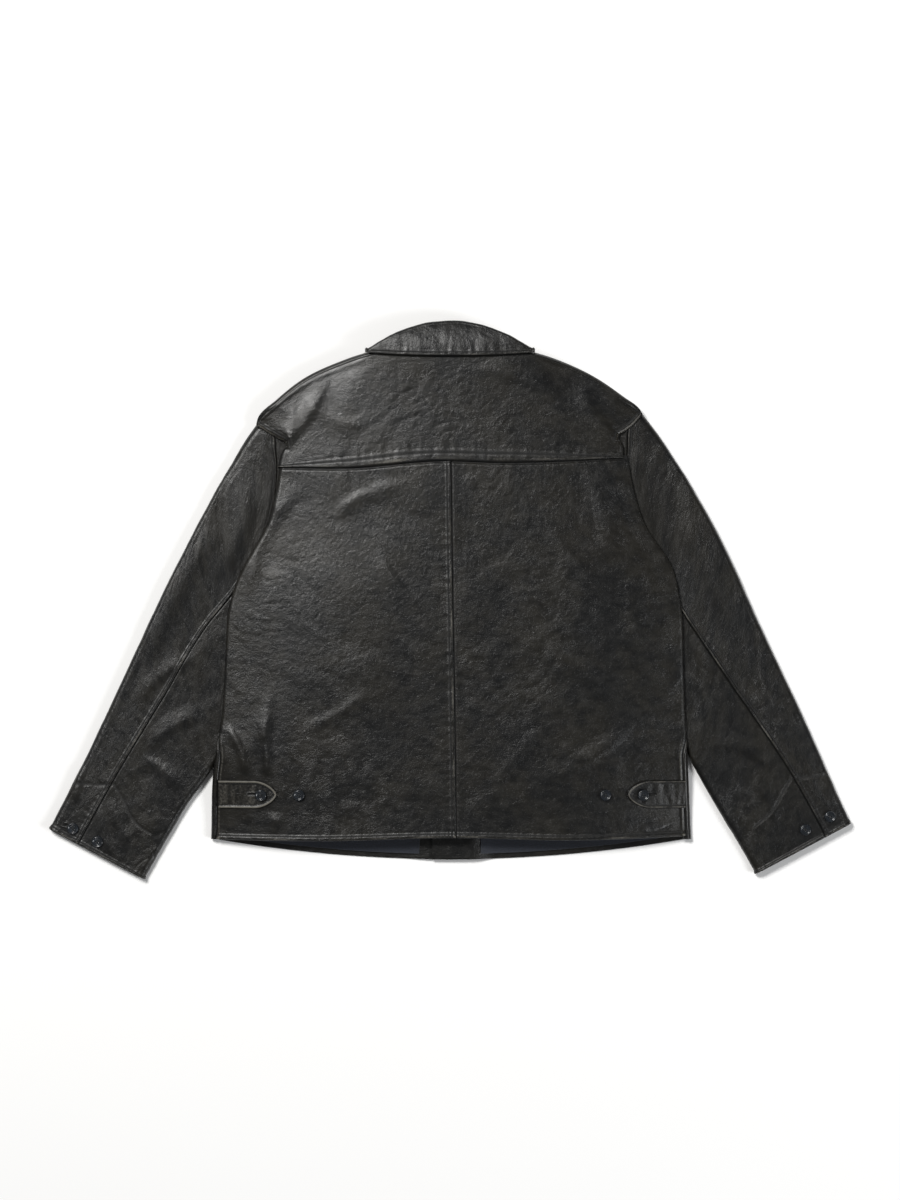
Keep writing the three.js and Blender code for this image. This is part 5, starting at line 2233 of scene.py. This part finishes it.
    def make_fronts(self) -> None:
        """Builds the front halves, which turn round the neck's side and lie face down."""
        for side in Side:
            along = np.linspace(0, 1.35, 90)
            flat = np.clip(along, 0, 1)
            over = np.clip((along - 1) / 0.35, 0, 1)
            inner_x = 24 * MM + (self.half - 26 * MM) * flat
            inner_y = 259 * MM + 57 * MM * flat**0.8
            reach = (62 - 36 * flat - 18 * over) * MM
            down = np.stack([0.42 - 0.22 * flat, -0.9 - 0.08 * flat], 1)
            share = np.linspace(0, 1, 30)
            out = np.stack([inner_x, inner_y], 1)[:, None]
            out = out + (reach[:, None] * share)[..., None] * down[:, None]
            height = self.form.top(side, np.array([0.104]), np.array([0.318]))[0] - 1 * MM
            turn = over * math.pi / 2
            out[..., 0] += (5 * MM * np.sin(turn * 2))[:, None]
            out[..., 1] += (6 * MM * over * (1 - 0.3 * over))[:, None]
            z = 1.3 * MM + (height - 1.3 * MM) * (1 - np.cos(turn))[:, None] + 0 * out[..., 0]
            edge_off = np.minimum(share[None] * reach[:, None], (1 - share[None]) * reach[:, None])
            z = z + 0.0003 * gradient_noise(out[..., 0] / 0.02, out[..., 1] / 0.02, 131)
            points = np.concatenate([out, z[..., None]], -1)
            sheet = plain(mirrored_for(side, points), side is Side.RIGHT)
            sheet.wear = np.clip(bump(edge_off, 1.2 * MM, 1.2 * MM) * 0.8, 0, 1)
            piece = sheet.build(f"collar_front_leather_{side.word}", LEATHER)
            shown(piece, Finish.LEATHER, f"collar_front_{side.word}", "shell")

    def make(self) -> None:
        """Builds the collar."""
        self.make_leaf()
        self.make_stand()
        self.make_fronts()


@dataclass
class WaistTab:
    """One waist adjuster tab, sewn into the side seam.

    Attributes:
        side: half of the body.
        form: shared heights.
        length: from the seam to the tip.
        height: width of the band.
        y: its centre line.
        edge: from its edge to its stitches.
    """

    side: Side
    form: BodyForm
    length: float = 76 * MM
    height: float = 36 * MM
    y: float = -252 * MM
    edge: float = 3.6 * MM

    @property
    def shift(self) -> float:
        """How much further out this tab sits than its twin."""
        return 8 * MM if self.side is Side.RIGHT else 2.5 * MM

    @property
    def root(self) -> float:
        """Distance out where it is sewn in."""
        return 298 * MM + self.shift

    def surface(self, x: Array, y: Array) -> Array:
        """Height that the tab lies on."""
        return self.form.top(self.side, x, y) + self.form.swell(self.side, x, y)

    def make(self) -> None:
        """Builds the tab and its stitches."""
        nominal = graded(self.length, 0.45 * MM, 0.9 * MM, 6 * MM)
        from_tip = self.length * (nominal / self.length) ** 1.25
        across = np.sin(np.linspace(-1, 1, 56) * math.pi / 2)
        bite = self.height * 0.80
        share = np.clip(from_tip / bite, 0.0, 1)
        half = self.height / 2 * (1 - (1 - share) ** 1.75) ** 0.62
        half = np.maximum(half, 0.5 * MM)
        x = (self.root - self.length + from_tip)[:, None] + 0 * across[None]
        y = self.y + half[:, None] * across[None]
        spread = np.linspace(0, 1, 300)
        line_half = self.height / 2 * (1 - (1 - np.clip(spread * self.length / bite, 0, 1)) ** 1.75) ** 0.62
        line_x = self.root - self.length + spread * self.length
        outline = np.concatenate([np.stack([line_x, self.y + s * line_half], 1) for s in (-1, 1)])
        off = distance_to(outline, x, y)
        off = np.where(np.abs(across)[None] > 0.999, 0.0, off)
        seam = SeamShape(width=self.edge, height=0.0009, groove=0.0006, pucker=0.0005)
        slit_from = self.root - self.length
        slit = (np.array([slit_from + 22 * MM, self.y]), np.array([slit_from + 36 * MM, self.y]))
        bow = 0.0005 * np.sin((x - self.root) / 0.011)
        z = self.surface(x, y) + 2.4 * MM + seam.at(off, x + y, 141) * 0.8 - rounded_edge(off, 1.2 * MM)
        slot = slot_relief(x, y, *slit)
        z = z + slot[0] + bow * 0.5
        z = z + 0.0007 * gradient_noise(x / 0.007, y / 0.03, 142) * ramp(off, 2 * MM, 8 * MM)
        points = np.stack([x, y, z], -1)
        sheet = plain(mirrored_for(self.side, points), self.side is Side.RIGHT)
        worn = 1.0 if self.side is Side.LEFT else 0.35
        wear = seam.rubbed(off, x * 2, 143) + 0.55 * worn * bump(off, 1.6 * MM, 1.3 * MM)
        streaks = gradient_noise(x / 0.006, y / 0.03, 144)
        # Painted shade in the buttonhole slit; the rest is real rub on the tab.
        sheet.wear = wear + 0.35 * worn + 0.3 * streaks - slot[1]
        sheet.crease = np.full(off.shape, 0.5)
        piece = sheet.build(f"waist_tab_leather_{self.side.word}", 2.1 * MM)
        Finish.LEATHER.dress(piece)
        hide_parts(f"waist_tab_{self.side.word}")
        self.bend(piece)
        inset = 1 - self.edge / (self.height / 2)
        row = np.concatenate([spread[::-1], spread])
        sign = np.concatenate([np.full(300, -1.0), np.full(300, 1.0)])
        tip = self.edge * 1.15
        reach = tip + row * (self.length - tip)
        near = np.clip(reach - tip * 0.72, 0, None) / bite
        line_half = self.height / 2 * (1 - (1 - np.clip(near, 0, 1)) ** 1.75) ** 0.62 * inset
        plan = np.stack([self.side.value * (self.root - self.length + reach), self.y + sign * line_half], 1)
        thread = stitched(f"tab_stitches_{self.side.word}", [on_surface(sheet, plan)])
        Finish.THREAD.dress(thread)
        self.bend(thread)

    def bend(self, piece: bpy.types.Object) -> None:
        """Bakes a piece's placement into its mesh."""
        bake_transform(piece)


@dataclass(frozen=True)
class Button:
    """A rimmed four-hole button sewn on with thread.

    Attributes:
        radius: half its diameter.
        height: thickness at the rim.
        dish: how far the middle lies below the rim.
        hole: radius of a thread hole.
        spread: distance of the holes from the middle.
    """

    radius: float = 7.5 * MM
    height: float = 3.0 * MM
    dish: float = 0.9 * MM
    hole: float = 0.8 * MM
    spread: float = 1.75 * MM

    def shape(self) -> tuple[Array, Array]:
        """Vertices and faces of a button that faces up, with its back at height 0."""
        radii = np.concatenate([np.linspace(0.03, 0.46, 20), np.linspace(0.5, 1.0, 14)]) * self.radius
        angles = np.linspace(0, 2 * math.pi, 73)[:-1] + math.pi / 4
        r, a = np.meshgrid(radii, angles, indexing="ij")
        share = r / self.radius
        rim = self.height * (1 - 0.42 * ramp(share, 0.80, 1.0) ** 1.6)
        face = rim - self.dish * (1 - ramp(share, 0.58, 0.80))
        face = face - 0.12 * MM * bump(share, 0.56, 0.03)
        x, y = r * np.cos(a), r * np.sin(a)
        for k in range(4):
            turn = math.pi / 4 + k * math.pi / 2
            off = np.hypot(x - self.spread * math.cos(turn), y - self.spread * math.sin(turn))
            face = face - 1.2 * MM * (1 - ramp(off, self.hole * 0.75, self.hole * 1.15))
        top = np.stack([x, y, face], -1)
        belly = []
        for scale, z in ((1.0, 0.45), (0.97, 0.2), (0.86, 0.05), (0.5, 0.0), (0.03, 0.0)):
            ring = top[-1] * (scale, scale, 0) + np.array([0, 0, z * self.height])
            belly.append(ring)
        grid = np.concatenate([top, np.array(belly)])
        rows, count = grid.shape[:2]
        index = np.arange(rows * count).reshape(rows, count)
        nxt = np.roll(index, -1, axis=1)
        quads = np.stack([index[:-1], index[1:], nxt[1:], nxt[:-1]], -1).reshape(-1, 4)
        caps = []
        for ring, step in ((index[0], 1), (index[-1], -1)):
            ring = ring[::step]
            for k in range(1, len(ring) // 2):
                caps.append([ring[k - 1], ring[k], ring[-k - 1], ring[-k]])
        return grid.reshape(-1, 3), np.concatenate([quads, np.array(caps)])

    def threads(self) -> tuple[Array, Array]:
        """Thread through the holes and the shank under the button."""
        thread = Thread(stitch=2 * self.spread * 0.98, space=0.5 * MM, radius=0.30 * MM)
        points, faces, base = [], [], 0
        up = np.array([0.0, 0.0, 1.0])
        level = self.height - self.dish + 0.02 * MM
        for row in (-1, 1):
            for shift in (-0.3 * MM, 0.3 * MM):
                y = row * self.spread * 0.72 + shift
                ends = np.array(
                    [(-self.spread, y, level), (0, y, level + 0.25 * MM), (self.spread, y, level)]
                )
                spots = np.linspace(0, 1, 9)
                line = np.stack([np.interp(spots, (0, 0.5, 1), ends[:, k]) for k in range(3)], 1)
                made, quads = thread.row(line, np.broadcast_to(up, line.shape))
                points.append(made)
                faces.append(quads + base)
                base += len(made)
        turns = np.linspace(0, 10 * math.pi, 160)
        sunk = -0.1 * MM - turns * 0.055 * MM
        coil = np.stack([1.0 * MM * np.cos(turns), 1.0 * MM * np.sin(turns), sunk], 1)
        wound = Thread(stitch=3.0 * MM, space=0.1 * MM, radius=0.32 * MM)
        made, quads = wound.row(coil, np.stack([np.cos(turns), np.sin(turns), 0 * turns], 1))
        points.append(made)
        faces.append(quads + base)
        return np.concatenate(points), np.concatenate(faces)

    def placed(self, points: Array, seat: Array, up: Array, spin: float) -> Array:
        """Moves a button's points onto its seat, turned to face along a direction."""
        turn = Vector((0, 0, 1)).rotation_difference(Vector(up)).to_matrix()
        c, s = math.cos(spin), math.sin(spin)
        spun = points @ np.array([[c, s, 0], [-s, c, 0], [0, 0, 1]])
        return spun @ np.array(turn).T + seat


@dataclass
class ButtonSet:
    """All buttons that ride on one body.

    Attributes:
        body: CAD body that they ride on.
    """

    body: str
    points: list = field(default_factory=list)
    faces: list = field(default_factory=list)
    count: int = 0

    def add(self, node: str, seat: Array, up: Array, spin: float = 0.4) -> None:
        """Adds a button.

        Args:
            node: CAD button that it stands for.
            seat: middle of its back.
            up: direction that it faces.
            spin: how far it is turned.
        """
        button = Button()
        shape, faces = button.shape()
        piece = link(node + "_resin", mesh_from(node + "_resin", button.placed(shape, seat, up, spin), faces))
        shown(piece, Finish.RESIN, node, self.body)
        made, quads = button.threads()
        self.points.append(button.placed(made, seat, up, spin))
        self.faces.append(quads + self.count)
        self.count += len(made)
        LOG.info("%s: button", piece.name)

    def finish(self, name: str) -> None:
        """Builds the threads of every button added."""
        mesh = mesh_from(name, np.concatenate(self.points), np.concatenate(self.faces))
        piece = link(name, mesh)
        Finish.THREAD.dress(piece)
        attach(piece, self.body)


def sew_buttons(tabs: dict, sleeves: dict) -> None:
    """Sews on every button.

    Args:
        tabs: the waist tabs by side.
        sleeves: the sleeves by side.
    """
    body = ButtonSet("shell")
    for side in Side:
        tab = tabs[side]
        for place, stand in (("outer", 4.3 * MM), ("inner", 1.4 * MM)):
            node = f"waist_button_{place}_{side.word}"
            low, high = box_of(node)
            x = abs(low[0] + high[0]) / 2 + tab.shift
            y = (low[1] + high[1]) / 2
            z = tab.surface(np.array([x]), np.array([y]))[0]
            step = 4 * MM
            slope_x = (tab.surface(np.array([x + step]), np.array([y]))[0] - z) / step
            slope_y = (tab.surface(np.array([x]), np.array([y + step]))[0] - z) / step
            up = np.array([-slope_x * side.value, -slope_y, 1.0])
            button_seat = np.array([side.value * x, y, z + stand])
            body.add(node, button_seat, up / np.linalg.norm(up), 0.3 * side.value)
    for number in range(1, 7):
        node = f"front_button_{number}"
        low, high = box_of(node)
        seat = np.array([(low[0] + high[0]) / 2, (low[1] + high[1]) / 2, 3.0 * MM])
        body.add(node, seat, np.array([1e-6, 0, -1.0]), 0.2 * number)
    body.finish("body_button_threads")
    for side in Side:
        cuff = ButtonSet(f"sleeve_{side.word}")
        for place, stand, spot in (("outer", 0.4 * MM, (490, -297)), ("inner", 0.9 * MM, (458, -314))):
            node = f"cuff_button_{place}_{side.word}"
            x, y = spot[0] * MM, spot[1] * MM
            if side is Side.RIGHT:
                x, y = x + 3.5 * MM, y + 15.5 * MM
            seat = np.array([side.value * x, y, sleeves[side].thick + stand])
            cuff.add(node, seat, np.array([0.02 * side.value, 0.03, 1.0]) / 1.0007, 0.9 * side.value)
        cuff.finish(f"cuff_button_threads_{side.word}")


# ---------------------------------------------------------------- studio


@dataclass(frozen=True)
class SoftBox:
    """A soft square light aimed at the jacket.

    Attributes:
        name: name of the light.
        place: where it stands.
        size: width of its face.
        power: power in watts.
        tone: its colour.
    """

    name: str
    place: tuple[float, float, float]
    size: float
    power: float
    tone: tuple[float, float, float] = (1.0, 1.0, 1.0)

    def hang(self) -> None:
        """Puts the light in the scene."""
        light = bpy.data.lights.new(self.name, "AREA")
        light.shape = "SQUARE"
        light.size = self.size
        light.energy = self.power
        light.color = self.tone
        lamp = bpy.data.objects.new(self.name, light)
        lamp.location = self.place
        lamp.rotation_euler = (-Vector(self.place)).to_track_quat("-Z", "Y").to_euler()
        bpy.context.scene.collection.objects.link(lamp)


@dataclass(frozen=True)
class Studio:
    """Pale floor, soft lights and the camera straight above.

    Attributes:
        floor_size: half the floor's width.
        view_height: height of the view on the floor.
        lens: focal length, in millimetres.
        sky: brightness of the room.
    """

    floor_size: float = 6.0
    view_height: float = 1.56
    lens: float = 90.0
    sky: float = 0.15

    def build(self) -> None:
        """Makes the floor, the room, the lights and the camera."""
        scene = bpy.context.scene
        half = self.floor_size
        corners = np.array([(-half, -half, 0), (half, -half, 0), (half, half, 0), (-half, half, 0)])
        floor = link("studio_floor", mesh_from("studio_floor", corners, np.array([[0, 1, 2, 3]])))
        floor.location.z = -0.0004
        floor.data.materials.append(Paper().material())
        world = bpy.data.worlds.new("studio room")
        world.use_nodes = True
        room = world.node_tree.nodes["Background"]
        room.inputs["Color"].default_value = (1.0, 1.0, 1.0, 1.0)
        room.inputs["Strength"].default_value = self.sky
        scene.world = world
        for box in (
            SoftBox("key softbox", (-1.8, 2.1, 4.2), 1.3, 245.0, (1.0, 0.99, 0.97)),
            SoftBox("fill softbox", (2.9, -1.4, 2.4), 1.3, 65.0, (0.97, 0.985, 1.0)),
        ):
            box.hang()
        camera = bpy.data.cameras.new("overhead camera")
        camera.lens = self.lens
        camera.sensor_width = 36.0
        eye = bpy.data.objects.new("overhead camera", camera)
        distance = self.view_height / 2 / (camera.sensor_width / 2 / self.lens)
        eye.location = (0.0, 0.0, distance + 0.01)
        camera.clip_end = 50.0
        scene.collection.objects.link(eye)
        scene.camera = eye
        scene.view_settings.view_transform = "Standard"


# ---------------------------------------------------------------- the jacket


def main() -> None:
    """Builds the jacket piece by piece, then the studio."""
    logging.basicConfig(level=logging.INFO, format="%(message)s")
    Groups.make()
    form = BodyForm()
    panels = {side: BackPanel(side, form) for side in Side}
    for panel in panels.values():
        panel.make()
    yoke = Yoke(form)
    yoke.make()
    back_stitches = stitched("back_stitches", [r for p in (*panels.values(), yoke) for r in p.stitches])
    Finish.THREAD.dress(back_stitches)
    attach(back_stitches, "shell")
    sleeves = {side: Sleeve(side, form) for side in Side}
    for sleeve in sleeves.values():
        sleeve.make()
    for side in Side:
        Front(side, form).make()
    BackInside(form).make()
    Collar(form).make()
    tabs = {side: WaistTab(side, form) for side in Side}
    for tab in tabs.values():
        tab.make()
    sew_buttons(tabs, sleeves)
    Studio().build()


if __name__ == "__main__":
    main()
